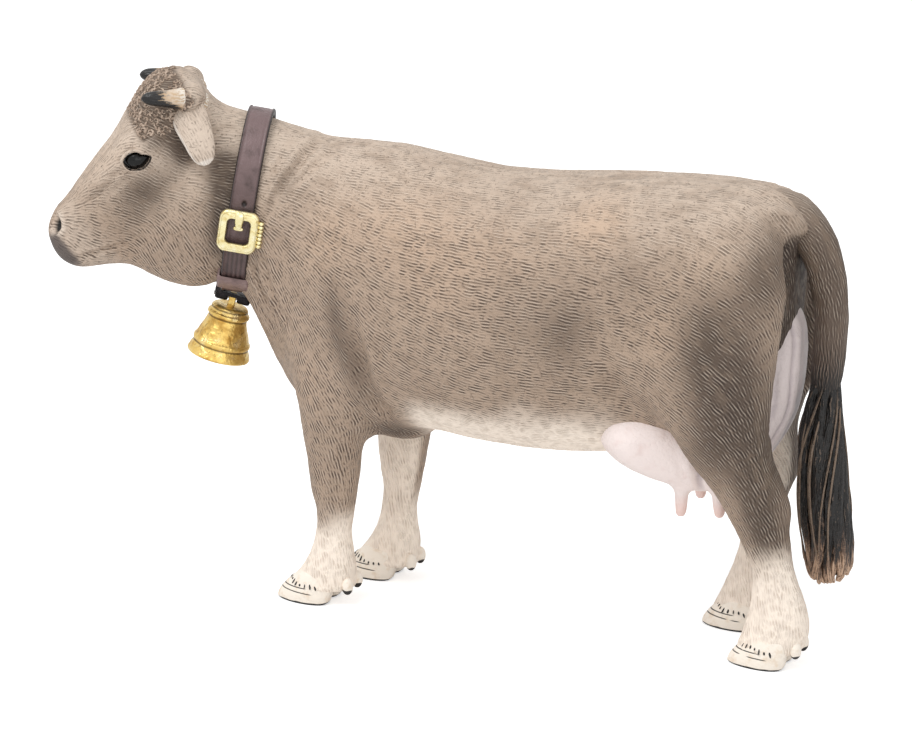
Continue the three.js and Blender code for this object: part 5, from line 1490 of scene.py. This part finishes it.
def buckle_piece():
    """The frame, and the beaded bar that the strap is sewn round."""
    place, across, along, out = strap_frame(BUCKLE_ANGLE)
    half, count, sides = BUCKLE_SIZE / 2, 60, 16
    rings, buckle_shade = [], []
    for inwards, corner, height, dark in BUCKLE_SECTION:
        outline = rounded_square(half - inwards, corner) * [1, BUCKLE_TALL]
        rings.append(place + outline[:, :1] * across + outline[:, 1:] * along + (FIT + height) * out)
        buckle_shade += [dark] * len(outline)
    reach = np.linspace(-BAR_HALF, BAR_HALF, count)[:, None]
    path = place + reach * along - (half + BAR_OUT) * across + (FIT + BAR_HEIGHT) * out
    side, up, _ = frames_along(path, out)
    beads = np.abs(np.sin(np.linspace(0, BEADS * math.pi, count)))
    bar = tube(path, side, up, BAR_RADIUS + BEAD_SWELL * beads, sides)
    # Painted shade between the beads of the bar, too
    buckle_shade = np.concatenate([buckle_shade, np.repeat(1 - smooth_step(beads, 0.1, 0.5), sides), [0, 0]])
    cast = merged([loft(np.stack(rings), closed=True), bar])
    return smooth_shaded(new_object("buckle_cast", *cast, groove=buckle_shade), 40)


PRONG_KEYS = [  # share of its length, from the frame's upper edge, height above the neck, half width
    [0, 0.1, 1.05, 0.5], [0.25, 0.7, 1.4, 0.72], [0.5, 1.6, 1.3, 0.68], [0.75, 2.5, 1.0, 0.58],
    [1, 3.2, 0.72, 0.5],
]
PRONG_THICK, PRONG_POWER = 0.34, 2.5
FOOT_HALF, FOOT_WIDTH = 0.85, 0.3  # the short bar across the prong's tip


def flat_rod(path, side, width, sizes, sides):
    """A flattened rod whose size changes along it."""
    side, up, _ = frames_along(path, side)
    thick = PRONG_THICK * sizes
    rings = rings_of(path, side, up, width * sizes, thick, thick, PRONG_POWER, PRONG_POWER, sides)
    return loft(rings)


def prong_piece():
    """The prong, hung on the top bar, with the short bar across its tip."""
    place, across, along, out = strap_frame(BUCKLE_ANGLE)
    t = np.linspace(0, 1, 40)
    rows = rows_at(PRONG_KEYS, t)
    from_edge = rows[:, 1:2] - BUCKLE_SIZE * BUCKLE_TALL / 2
    path = place + from_edge * along + rows[:, 2:3] * out
    root, tip = (1 - np.minimum(t / 0.08, 1)) ** 2, np.maximum((t - 0.9) / 0.1, 0) ** 2
    dome = np.sqrt(np.maximum(1 - np.maximum(root, tip), 0.02))
    shank = flat_rod(path, across, rows[:, 3], dome, 24)
    t = np.linspace(-1, 1, 16)
    ends = np.sqrt(np.maximum(1 - np.abs(t) ** 4, 0.04))
    foot = flat_rod(path[-3] + FOOT_HALF * t[:, None] * across, out, FOOT_WIDTH, ends, 16)
    return smooth_shaded(new_object("prong_cast", *merged([shank, foot])), 50)


# Bell
joint_at = {joint["name"]: joint for joint in frame["joints"]}
HINGE = np.array(joint_at["bell_swing"]["pos_m"]) / MM - SHIFT
HINGE_AXIS = unit(np.array(joint_at["bell_swing"]["axis"], float))
BELL_LEAN = math.radians(15)
BELL_UP = math.cos(BELL_LEAN) * UP - math.sin(BELL_LEAN) * collar_ahead
BELL_SIDE = np.cross(BELL_UP, HINGE_AXIS)
CROWN, BELL_HEIGHT, MOUTH, WALL = -1.45, 8.8, 5.3, 0.7
BELL_SHARES = [
    [0, 0.3, 0], [0.05, 0.5, 0.005], [0.1, 0.585, 0.045], [0.15, 0.605, 0.11], [0.2, 0.66, 0.15],
    [0.25, 0.66, 0.195], [0.3, 0.612, 0.225], [0.36, 0.65, 0.32], [0.44, 0.72, 0.44],
    [0.52, 0.8, 0.56], [0.59, 0.86, 0.655], [0.64, 0.91, 0.69], [0.68, 0.916, 0.735],
    [0.73, 0.887, 0.775], [0.82, 0.95, 0.88], [0.93, 1, 0.965], [1, 0.99, 1],
]
UNDER_BEADS, BEAD_SHADE = (0.06, 0.232, 0.78), 0.022  # of BELL_HEIGHT, where painted shade lies under the bell's rings
LUG_SECTION = [(-0.6, 0.72), (-0.5, 0.85), (0.5, 0.85), (0.6, 0.72)]  # along the pin, and radius
LUG_FOOT = CROWN - 0.35  # sunk into the crown
BELL_INSIDE = [
    [0, 0.985, 1], [0.12, 0.94, 0.9], [0.3, 0.86, 0.75], [0.48, 0.8, 0.6], [0.66, 0.715, 0.45],
    [0.84, 0.63, 0.3], [1, 0.59, 0.18],
]


def bell_point(x, y, z):
    x, y, z = (np.asarray(value, float)[..., None] for value in (x, y, z))
    return HINGE + x * HINGE_AXIS + y * BELL_SIDE + z * BELL_UP


def bell_shell():
    outside = rows_at(BELL_SHARES, np.linspace(0, 1, 100))[:, 1:] * [MOUTH, BELL_HEIGHT]
    inside = rows_at(BELL_INSIDE, np.linspace(0, 1, 40))[:, 1:] * [MOUTH, BELL_HEIGHT]
    inside[:, 0] -= WALL * smooth_step(np.arange(40.0), 0, 2)
    roof = [[1.6, WALL], [0.5, WALL]]
    profile = np.vstack([[[0.4, 0.0]], outside, inside, roof])
    sides = 96
    turn = full_turn(sides)[None, :]
    radius, depth = profile[:, :1], profile[:, 1:]
    rings = bell_point(radius * np.cos(turn), radius * np.sin(turn), CROWN - depth + 0 * turn)
    points, faces = loft(rings)
    outer = capped(np.arange(len(profile)) < len(outside) - 5, sides)
    rest = points - HINGE - CROWN * BELL_UP
    radial = unit(rest - (rest @ BELL_UP)[:, None] * BELL_UP + 1e-9)
    dents = -0.16 * np.clip(noise(points, 1.6, seed=51) - 0.25, 0, 1) - 0.05 * noise(points, 0.6, seed=52)
    return points + radial * (dents * outer)[:, None], faces


def bell_piece():
    """The bell and, cast on its crown, the lug that hangs on the pin."""
    arc = np.linspace(0, math.pi, 24)
    lug = []
    for x, size in LUG_SECTION:
        across = np.array([*(size * np.cos(arc)), -size, size])
        height = np.array([*(size * np.sin(arc)), LUG_FOOT, LUG_FOOT])
        lug.append(bell_point(np.full(len(across), x), across, height))
    points, faces = merged([bell_shell(), loft(np.stack(lug))])
    depth = (CROWN - (points - HINGE) @ BELL_UP) / BELL_HEIGHT
    shade = sum(bump(depth - at, BEAD_SHADE) for at in UNDER_BEADS)
    return smooth_shaded(new_object("bell_cast", points, faces, groove=shade), 45)


LOOP_HALF, LOOP_RISE, LOOP_POWER = STRAP_WIDTH / 2 + 0.45, 0.95, 0.35  # the band's bore
LOOP_LEVEL = 1.75  # of the bore's middle above the pin
LOOP_PROFILE = [  # how thick the band is, and how far along the strap
    (0, -1.2), (0.5, -1.3), (0.62, -1.05), (0.68, 0), (0.62, 1.05), (0.5, 1.3), (0, 1.2),
]
CHEEK_FROM, CHEEK_TO, CHEEK_LEVEL = 0.8, 2.95, 0.1  # the lugs under the band that hold the pin
CHEEK_HALF, CHEEK_RISE, CHEEK_DROP = 1.2, 0.75, 0.85
CHEEK_ENDS = [0.8, 0.95, 1, 1, 1, 1, 1, 1, 1, 1, 0.95, 0.8]


def hanger_piece():
    """The band round the strap, and the two cheeks that hold the bell's pin."""
    turn = full_turn(72)
    width, height = squared(np.cos(turn), LOOP_POWER), squared(np.sin(turn), LOOP_POWER)
    rings = [
        bell_point((LOOP_HALF + thick) * width, 0 * turn + along, (LOOP_RISE + thick) * height + LOOP_LEVEL)
        for thick, along in LOOP_PROFILE
    ]
    loop = loft(np.stack(rings), closed=True)
    size = np.array(CHEEK_ENDS)
    half, rise, drop = CHEEK_HALF * size, CHEEK_RISE * size, CHEEK_DROP * size
    cheeks = []
    for end in (LEFT, RIGHT):
        reach = end * np.linspace(CHEEK_FROM, CHEEK_TO, len(size))
        path = bell_point(reach, 0 * reach, 0 * reach + CHEEK_LEVEL)
        cheeks.append(loft(rings_of(path, BELL_SIDE, BELL_UP, half, rise, drop, 3, 3, 32)))
    return smooth_shaded(new_object("hanger_loop", *merged([loop, *cheeks])), 45)


# Materials
def paint(code):
    """An sRGB hex colour as the linear colour that a shader takes."""
    parts = [int(code[i : i + 2], 16) / 255 for i in (1, 3, 5)]
    return (*[part / 12.92 if part <= 0.04045 else ((part + 0.055) / 1.055) ** 2.4 for part in parts], 1.0)


def new_material(name, *tones):
    """An empty material, its tree, the place on the piece and the tones stored there, to be read."""
    material = bpy.data.materials.new(name)
    material.use_nodes = True
    tree = material.node_tree
    tree.nodes.clear()
    place = add_node(tree, "ShaderNodeTexCoord", out="Object")
    stored = (add_node(tree, "ShaderNodeAttribute", out="Fac", attribute_name=tone) for tone in tones)
    return material, tree, place, *stored


def summed(tree, start, *terms):
    """A start value and what each term adds: a source, the range of it that counts, the amount."""
    total = start
    for source, low, high, amount in terms:
        inputs = {0: source, 1: low, 2: high, 4: amount}
        term = add_node(tree, "ShaderNodeMapRange", inputs, interpolation_type="SMOOTHSTEP")
        total = add_node(tree, "ShaderNodeMath", {0: total, 1: term}, operation="ADD")
    return total


def coats(tree, first, *layers):
    """Coats of paint: each a colour, then the source, its range and the amount that it covers."""
    colour = paint(first) if isinstance(first, str) else first
    for code, *term in layers:
        coat = paint(code) if isinstance(code, str) else code
        inputs = {0: summed(tree, 0.0, term), 6: colour, 7: coat}
        colour = add_node(tree, "ShaderNodeMix", inputs, out=2, data_type="RGBA")
    return colour


def surface(material, colour, roughness, *relief, **more):
    """Gives the material a colour, a roughness and a relief, whose terms are in millimetres."""
    tree = material.node_tree
    normal = add_node(tree, "ShaderNodeBump", {"Height": summed(tree, 0.0, *relief), "Distance": MM})
    inputs = {"Base Color": colour, "Roughness": roughness, "Normal": normal}
    inputs |= {key.replace("_", " "): value for key, value in more.items()}
    shader = add_node(tree, "ShaderNodeBsdfPrincipled", inputs)
    add_node(tree, "ShaderNodeOutputMaterial", {"Surface": shader})
    return material


def clouds(place, size, detail=2.0):
    """Inputs of a noise whose patches are about size millimetres across."""
    return {"Vector": place, "Scale": 1 / (size * MM), "Detail": detail}


def hide_furrows(tree, place):
    """Wavy furrows that run with the hair, from about 0.2 in a furrow to 0.8 on a ridge."""
    flow = add_node(tree, "ShaderNodeAttribute", out="Vector", attribute_name="flow")
    outward = add_node(tree, "ShaderNodeNewGeometry", out="Normal")
    across = add_node(tree, "ShaderNodeVectorMath", {0: flow, 1: outward}, operation="CROSS_PRODUCT")
    waves = {"Vector": place, "Scale": 1 / (FURROW_LENGTH * MM), "Frequency": FURROW_LENGTH / FURROW}
    waves |= {"Anisotropy": 0.93, 5: across}
    return add_node(tree, "ShaderNodeTexGabor", waves, out="Value", gabor_type="3D")


def hair_strokes(tree, place, width, samples):
    """Noise drawn out along the hair: wavy strokes of that width, from about 0.35 to 0.65."""
    flow = add_node(tree, "ShaderNodeAttribute", out="Vector", attribute_name="flow")
    wander = add_node(tree, "ShaderNodeTexNoise", clouds(place, 4 * width, 1.0), out="Color")
    sway = {0: wander, 1: (1.6 * width * MM,) * 3, 2: place}
    start = add_node(tree, "ShaderNodeVectorMath", sway, operation="MULTIPLY_ADD")
    total = 0.0
    for k in range(-samples, samples + 1):
        shift = {0: flow, 1: (0.95 * k * width * MM,) * 3, 2: start}
        spot = add_node(tree, "ShaderNodeVectorMath", shift, operation="MULTIPLY_ADD")
        value = add_node(tree, "ShaderNodeTexNoise", clouds(spot, width, 0.0))
        share = {0: value, 1: 1 / (2 * samples + 1), 2: total}
        total = add_node(tree, "ShaderNodeMath", share, operation="MULTIPLY_ADD")
    return total


def hide_coats(tree, place, strokes):
    """Grey-brown spray with darker and warmer patches, wiped so that it stays in the furrows. The darker
    patches are partly painted shade, the top is lighter as a painted highlight, the wash in the furrows and
    in the low parts of the tufts is partly painted shade, and the ridges carry a painted highlight.
    """
    dark, warm, cream, hair = (
        add_node(tree, "ShaderNodeAttribute", out="Fac", attribute_name=name)
        for name in ("dark", "warm", "cream", "hair")
    )
    patches = add_node(tree, "ShaderNodeTexNoise", clouds(place, 5.0))
    broken = add_node(tree, "ShaderNodeTexNoise", clouds(place, 1.6, 1.0))
    pores = add_node(tree, "ShaderNodeTexNoise", clouds(place, 0.45, 1.0))
    height = add_node(tree, "ShaderNodeSeparateXYZ", {0: place}, out="Z")
    # The wash, darkest in the furrows, is partly painted shade in them
    wash_and_shade = summed(tree, 0.0, (strokes, 0.53, 0.33, 1.0))
    thinner = (height, 60 * MM, 74 * MM, -0.4), (broken, 0.6, 0.35, -0.4), (cream, 0, 1, -0.4)
    cover = summed(tree, 0.85, *thinner)
    wash_and_shade = add_node(tree, "ShaderNodeMath", {0: wash_and_shade, 1: cover}, operation="MULTIPLY")
    furrow = coats(tree, "#544338", ("#33271f", dark, 0.4, 1.3, 0.9), ("#cdb59c", cream, 0.3, 1, 1))
    return coats(
        tree,
        "#ac9683",
        # Painted highlight: lighter towards the top of the body
        ("#e0cfbe", height, 62 * MM, 80 * MM, 0.6),
        ("#9d8775", patches, 0.42, 0.7, 0.35),
        ("#d0b094", warm, 0, 1, 0.5),
        # The dark tone: partly sprayed patches, partly painted shade under the chest, in hollows, on the
        # face and under the curls
        ("#594a3e", dark, 0, 1, 1),
        ("#40332a", dark, 1, 1.6, 1),
        # Painted shade in the low parts of the moulded tufts
        ("#8f7b69", hair, -0.1, -1.0, 0.3),
        ("#6d5b4d", pores, 0.38, 0.3, 0.6),
        ("#faecdd", cream, 0, 1, 1),
        # Painted highlight on the ridges between the furrows
        ("#dccbba", strokes, 0.5, 0.75, 0.34),
        (furrow, wash_and_shade, 0, 1, 1),
    )


def hide_vinyl():
    # Moulded vinyl with fine hair, sprayed grey-brown and wiped so that the wash stays in the grooves, where
    # it is partly painted shade; the coats also carry painted highlights on the top and on the ridges
    material, tree, place, nose, ink = new_material("painted_vinyl_hide", "nose", "ink")
    strokes = hide_furrows(tree, place)
    colour = coats(
        tree,
        hide_coats(tree, place, strokes),
        ("#5b514d", nose, 0, 1, 0.95),
        ("#15100e", ink, 0.2, 0.8, 1),
    )
    roughness = summed(tree, 0.74, (strokes, 0.4, 0.7, -0.2))
    return surface(material, colour, roughness, (strokes, 0.2, 0.65, 0.16))


def ear_vinyl():
    # The same hide, wiped to white along the rim where hair would fringe the ear
    material, tree, place, edge = new_material("painted_vinyl_ear", "edge")
    strokes = hide_furrows(tree, place)
    colour = coats(tree, hide_coats(tree, place, strokes), ("#f6efe6", edge, 0.2, 0.8, 0.6))
    return surface(material, colour, 0.62, (strokes, 0.2, 0.65, 0.12))


def curl_vinyl():
    # The curls of the forehead: hide paint on their backs, and black low down on each curl as painted shade
    # between them
    material, tree, place, facing = new_material("painted_vinyl_curls", "lift")
    specks = add_node(tree, "ShaderNodeTexNoise", clouds(place, 0.5))
    colour = coats(
        tree,
        "#aa9482",
        ("#d0bdab", specks, 0.48, 0.66, 0.6),
        ("#5a493d", specks, 0.44, 0.34, 0.6),
        # Painted shade: black low down on each curl, where it meets the skin
        ("#2d231e", facing, 0.3, -0.3, 0.95),
    )
    return surface(material, colour, 0.66, (specks, 0.4, 0.6, 0.08))


def tail_vinyl():
    # The hide's paint, sprayed black where the switch begins
    material, tree, place = new_material("painted_vinyl_tail")
    strokes = hide_furrows(tree, place)
    height = add_node(tree, "ShaderNodeSeparateXYZ", {0: place}, out="Z")
    level = summed(tree, height, (strokes, 0.3, 0.7, 6 * MM))
    colour = coats(
        tree,
        hide_coats(tree, place, strokes),
        ("#5c4c41", level, 66 * MM, 54 * MM, 0.55),
        ("#1b1715", level, 55.5 * MM, 47 * MM, 1),
    )
    return surface(material, colour, 0.62, (strokes, 0.2, 0.65, 0.14))


def switch_vinyl():
    # Black locks, dry brushed with beige on their ridges and with brown towards their ends
    material, tree, place, along, hue = new_material("painted_vinyl_switch", "along", "hue")
    strokes = hair_strokes(tree, place, 0.3, 3)
    below_root = summed(tree, 0.0, (along, 0.05, 0.3, 1))
    pale = add_node(tree, "ShaderNodeMath", {0: hue, 1: below_root}, operation="MULTIPLY")
    tips = summed(tree, along, (strokes, 0.4, 0.6, 0.14))
    colour = coats(
        tree,
        "#120f0d",
        ("#8d7765", strokes, 0.56, 0.62, 0.4),
        ("#84705f", pale, 0, 1, 0.8),
        ("#7b5f4c", tips, 0.76, 0.94, 0.9),
        ("#c9a88d", tips, 0.86, 1.04, 0.9),
        ("#241a15", strokes, 0.46, 0.38, 0.8),
    )
    return surface(material, colour, 0.5, (strokes, 0.4, 0.58, 0.14))


def hoof_vinyl():
    # Cream horn with thin black lines drawn round the sole and across the toe
    material, tree, place, ink = new_material("painted_vinyl_hoof", "ink")
    grain = add_node(tree, "ShaderNodeTexNoise", clouds(place, 1.4, 3.0))
    colour = coats(
        tree,
        "#f6ecdf",
        ("#dcc4a8", grain, 0.5, 0.75, 0.6),
        ("#17110f", ink, 0.25, 0.75, 1),
    )
    return surface(material, colour, 0.5, (grain, 0.4, 0.6, 0.06))


def black_paint():
    # Black paint on the moulded tufts over the hooves
    material, tree, place = new_material("black_paint_tufts")
    grain = add_node(tree, "ShaderNodeTexNoise", clouds(place, 0.4))
    colour = coats(tree, "#120e0d", ("#3a2e28", grain, 0.5, 0.75, 0.6))
    return surface(material, colour, 0.5, (grain, 0.4, 0.6, 0.03))


def udder_vinyl():
    # Soft pink satin vinyl, with lilac painted shade in the folds, and greyer towards the back as painted
    # shade between the hind legs
    material, tree, place, groove = new_material("painted_vinyl_udder", "groove")
    height = add_node(tree, "ShaderNodeSeparateXYZ", {0: place}, out="Z")
    back = add_node(tree, "ShaderNodeSeparateXYZ", {0: place}, out="X")
    blush = add_node(tree, "ShaderNodeTexNoise", clouds(place, 2.5))
    pores = add_node(tree, "ShaderNodeTexNoise", clouds(place, 0.5))
    colour = coats(
        tree,
        "#f7e9e5",
        ("#e6cfc9", blush, 0.5, 0.8, 0.6),
        # Painted shade: greyer towards the back, between the hind legs
        ("#d3c6c4", back, 50 * MM, 56 * MM, 0.8),
        # Painted shade in lilac in the folds
        ("#a2949a", groove, 0, 1, 0.6),
        ("#f0cfc6", height, 26.2 * MM, 22.5 * MM, 0.85),
    )
    return surface(material, colour, 0.45, (pores, 0.4, 0.6, 0.03))


def horn_vinyl():
    # Satin vinyl, brushed white over tan at the root and black from the tip and from below
    material, tree, place, along, under = new_material("painted_vinyl_horn", "along", "under")
    strokes = hair_strokes(tree, place, 0.3, 3)
    shade = summed(tree, along, (under, 0, 1, 0.3), (strokes, 0.4, 0.6, 0.1))
    colour = coats(
        tree,
        "#cdb394",
        ("#f6f0e6", strokes, 0.44, 0.54, 0.95),
        ("#c2a27d", shade, 0.55, 0.72, 0.6),
        ("#120f0e", shade, 0.74, 0.86, 1),
    )
    return surface(material, colour, 0.34, (strokes, 0.4, 0.6, 0.05))


def eye_gloss():
    # Gloss black enamel, with a little brown in its lower half as a painted reflection
    material, tree, place, lower = new_material("gloss_enamel_eye", "lower")
    ripple = add_node(tree, "ShaderNodeTexNoise", clouds(place, 1.5))
    colour = coats(tree, "#020202", ("#2b2523", lower, 0.6, 0.95, 0.4))
    return surface(material, colour, 0.14, (ripple, 0.3, 0.7, 0.02), Specular_IOR_Level=0.35)


def collar_leather():
    # Smooth dyed leather, darker and drier along its edges, with a satin top coat, lighter towards the top
    # as a painted highlight and darker in its hole and between its ribs as painted shade
    material, tree, place, edge = new_material("dyed_leather_collar", "edge")
    worn = add_node(tree, "ShaderNodeTexNoise", clouds(place, 2.4, 4.0))
    grain = add_node(tree, "ShaderNodeTexNoise", clouds(place, 0.35, 3.0))
    height = add_node(tree, "ShaderNodeSeparateXYZ", {0: place}, out="Z")
    colour = coats(
        tree,
        "#5a4644",
        # Painted highlight: lighter towards the top of the collar
        ("#7d6868", height, 66 * MM, 78 * MM, 0.7),
        ("#80696a", worn, 0.5, 0.75, 0.5),
        ("#382825", worn, 0.48, 0.25, 0.7),
        # Dark dye on the edges, and painted shade in the hole and between the ribs
        ("#241a19", edge, 0, 1, 1),
    )
    roughness = summed(tree, 0.5, (grain, 0.3, 0.7, -0.16))
    return surface(material, colour, roughness, (grain, 0.3, 0.7, 0.03))


def keeper_leather():
    # A lighter offcut of the same leather, folded round the strap
    material, tree, place = new_material("dyed_leather_keeper")
    worn = add_node(tree, "ShaderNodeTexNoise", clouds(place, 1.4, 4.0))
    grain = add_node(tree, "ShaderNodeTexNoise", clouds(place, 0.35, 3.0))
    colour = coats(tree, "#7c6562", ("#98807c", worn, 0.5, 0.75, 0.7), ("#4b3936", worn, 0.5, 0.3, 0.6))
    return surface(material, colour, 0.45, (grain, 0.3, 0.7, 0.03))


def pale_brass():
    # Cast brass, polished on its faces, with painted shade in its corners, between the bar's beads and where
    # it meets the strap
    material, tree, place, groove = new_material("polished_brass_buckle", "groove")
    wear = add_node(tree, "ShaderNodeTexNoise", clouds(place, 0.9, 3.0))
    colour = coats(
        tree,
        "#f6eab6",
        ("#cfae55", wear, 0.5, 0.7, 0.55),
        ("#fff8d8", wear, 0.5, 0.3, 0.6),
        # Painted shade in the corners, between the beads and where the frame meets the strap
        ("#5e4417", groove, 0, 1, 0.9),
    )
    roughness = summed(tree, 0.22, (wear, 0.3, 0.7, 0.16))
    return surface(material, colour, roughness, (wear, 0.3, 0.7, 0.04), Metallic=0.85)


def old_gold():
    # Gold lacquer over a beaten bell, with a brown patina wiped into its dents, and painted shade under its
    # rings
    material, tree, place, groove = new_material("gold_lacquer_bell", "groove")
    wear = add_node(tree, "ShaderNodeTexNoise", clouds(place, 2.2, 4.0))
    pits = add_node(tree, "ShaderNodeTexNoise", clouds(place, 0.6))
    colour = coats(
        tree,
        "#ecc974",
        ("#fbe9b4", wear, 0.5, 0.3, 0.7),
        ("#b98a3a", wear, 0.5, 0.72, 0.85),
        ("#6e4a1c", pits, 0.6, 0.72, 0.5),
        # Painted shade under the bell's rings
        ("#4d3212", groove, 0.2, 1, 0.8),
    )
    roughness = summed(tree, 0.24, (wear, 0.3, 0.7, 0.18))
    relief = (pits, 0.3, 0.7, 0.05), (wear, 0.3, 0.7, 0.08)
    return surface(material, colour, roughness, *relief, Metallic=0.75)


def blackened_steel():
    # Blued steel that has lost its shine
    material, tree, place = new_material("blackened_steel_hanger")
    wear = add_node(tree, "ShaderNodeTexNoise", clouds(place, 0.7, 3.0))
    colour = coats(tree, "#141012", ("#3a3234", wear, 0.5, 0.75, 0.5))
    return surface(material, colour, 0.42, (wear, 0.3, 0.7, 0.03), Metallic=0.6)


def plain_steel():
    # Drawn steel wire and a turned steel ball
    material, tree, place = new_material("drawn_steel_clapper")
    wear = add_node(tree, "ShaderNodeTexNoise", clouds(place, 0.5, 3.0))
    colour = coats(tree, "#a9a9ab", ("#6d6a68", wear, 0.5, 0.75, 0.7))
    return surface(material, colour, 0.34, (wear, 0.3, 0.7, 0.02), Metallic=1.0)


# Pieces, each with its material and the frame's body that it moves with
def dress(piece, material, slot, *nodes, body="figure"):
    piece.data.materials.clear()
    piece.data.materials.append(material)
    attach(piece, body)
    if nodes:
        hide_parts(*nodes)


hide, ear_hide, curl_hide = hide_vinyl(), ear_vinyl(), curl_vinyl()
horn_paint, eye_enamel = horn_vinyl(), eye_gloss()
brass, steel = pale_brass(), plain_steel()
for node, piece in dressed_body().items():
    dress(piece, hide, "hide", node)
head_hide, forehead = dressed_head()
dress(head_hide, hide, "hide", "head")
dress(curl_piece(forehead, curl_hide), curl_hide, "hide")
for name, hand in (("left", LEFT), ("right", RIGHT)):
    dress(eye_piece("gloss_eye_" + name, hand), eye_enamel, "eye", "eye_" + name)
    dress(lid_piece("lid_" + name, hand), hide, "hide")
    dress(horn_piece("satin_horn_" + name, hand), horn_paint, "horn", "horn_" + name)
    dress(ear_piece("leaf_ear_" + name, hand), ear_hide, "hide", "ear_" + name)
dress(hoof_piece(), hoof_vinyl(), "hide")
tuft_paint = black_paint()
dress(tuft_piece(tuft_paint), tuft_paint, "hide")
dress(tail_piece(), tail_vinyl(), "tail_hair", "tail")
switch_paint = switch_vinyl()
dress(switch_piece(switch_paint), switch_paint, "tail_hair")
dress(udder_piece(), udder_vinyl(), "udder_skin", "udder")
dress(strap_piece(), collar_leather(), "collar", "collar_strap")
dress(keeper_piece(), keeper_leather(), "collar", "strap_keeper")
dress(buckle_piece(), brass, "buckle", "buckle_frame")
dress(prong_piece(), brass, "buckle", "buckle_prong")
dress(hanger_piece(), blackened_steel(), "hanger", "bell_hanger")
dress(bell_piece(), old_gold(), "bell_gilt", "bell", body="bell")
for node in ("bell_pin", "bell_clapper"):
    frame["nodes"][node].data.materials.clear()
    frame["nodes"][node].data.materials.append(steel)


# Floor, light and camera
FLOOR = 6.0  # half its width, in metres
SKY_LIGHT = 0.72  # strength of the sky on the figure


def white_floor():
    """A white floor that shows the background's white, and the figure's shadow on it."""
    mesh = bpy.data.meshes.new("floor")
    corners = [(-FLOOR, -FLOOR, 0), (FLOOR, -FLOOR, 0), (FLOOR, FLOOR, 0), (-FLOOR, FLOOR, 0)]
    mesh.from_pydata(corners, [], [(0, 1, 2, 3)])
    floor = bpy.data.objects.new("floor", mesh)
    bpy.context.scene.collection.objects.link(floor)
    material = bpy.data.materials.new("white_paper")
    material.use_nodes = True
    tree = material.node_tree
    tree.nodes.clear()
    matt = add_node(tree, "ShaderNodeBsdfDiffuse", {"Color": paint("#f4f4f4")})
    glow = add_node(tree, "ShaderNodeEmission", {"Color": paint("#ffffff"), "Strength": 0.5})
    both = add_node(tree, "ShaderNodeAddShader", {0: matt, 1: glow})
    ray = add_node(tree, "ShaderNodeLightPath", out="Is Camera Ray")
    mix = add_node(tree, "ShaderNodeMixShader", {0: ray, 1: matt, 2: both})
    add_node(tree, "ShaderNodeOutputMaterial", {"Surface": mix})
    mesh.materials.append(material)


LIT_POINT = (0.0, 0.0, 0.04)
LIGHTS = [  # name, place and width in metres, watts
    ("key", (-0.25, -0.35, 0.75), 0.5, 3.1),
    ("fill", (0.45, -0.6, 0.25), 0.6, 0.8),
]


def soft_light(name, place, size, watts):
    lamp = bpy.data.lights.new(name, "AREA")
    lamp.shape = "DISK"
    lamp.size = size
    lamp.energy = watts
    fixture = bpy.data.objects.new(name, lamp)
    bpy.context.scene.collection.objects.link(fixture)
    fixture.location = place
    fixture.rotation_euler = (Vector(LIT_POINT) - Vector(place)).to_track_quat("-Z", "Y").to_euler()


def sky():
    """White for the camera and in reflections, and a plain grey light on the figure."""
    world = bpy.data.worlds.new("studio")
    world.use_nodes = True
    bpy.context.scene.world = world
    tree = world.node_tree
    tree.nodes.clear()
    camera_ray = add_node(tree, "ShaderNodeLightPath", out="Is Camera Ray")
    glossy_ray = add_node(tree, "ShaderNodeLightPath", out="Is Glossy Ray")
    seen = add_node(tree, "ShaderNodeMath", {0: camera_ray, 1: glossy_ray}, operation="MAXIMUM")
    lit = add_node(tree, "ShaderNodeBackground", {"Color": paint("#ffffff"), "Strength": SKY_LIGHT})
    white = add_node(tree, "ShaderNodeBackground", {"Color": paint("#ffffff"), "Strength": 1.0})
    mix = add_node(tree, "ShaderNodeMixShader", {0: seen, 1: lit, 2: white})
    add_node(tree, "ShaderNodeOutputWorld", {"Surface": mix})


CAMERA_AZIMUTH, CAMERA_ELEVATION, CAMERA_DISTANCE = math.radians(22.5), math.radians(16.5), 600.0
CAMERA_AIM = (0.0, 0.0, 40.4)
FRAME_WIDTH, SENSOR_WIDTH, FOCAL_PIXELS = 912, 36.0, 3648.0


def picture_camera():
    level = math.cos(CAMERA_ELEVATION)
    aside, ahead = math.sin(CAMERA_AZIMUTH) * level, -math.cos(CAMERA_AZIMUTH) * level
    back = np.array([aside, ahead, math.sin(CAMERA_ELEVATION)])
    camera = bpy.data.objects.new("camera", bpy.data.cameras.new("camera"))
    camera.data.sensor_width = SENSOR_WIDTH
    camera.data.lens = FOCAL_PIXELS / FRAME_WIDTH * SENSOR_WIDTH
    camera.data.clip_start, camera.data.clip_end = 0.01, 20.0
    camera.location = row_place(np.array(CAMERA_AIM) + CAMERA_DISTANCE * back)
    camera.rotation_euler = Vector(-back).to_track_quat("-Z", "Y").to_euler()
    bpy.context.scene.collection.objects.link(camera)
    bpy.context.scene.camera = camera


white_floor()
sky()
for light in LIGHTS:
    soft_light(*light)
picture_camera()
bpy.context.scene.view_settings.view_transform = "Standard"
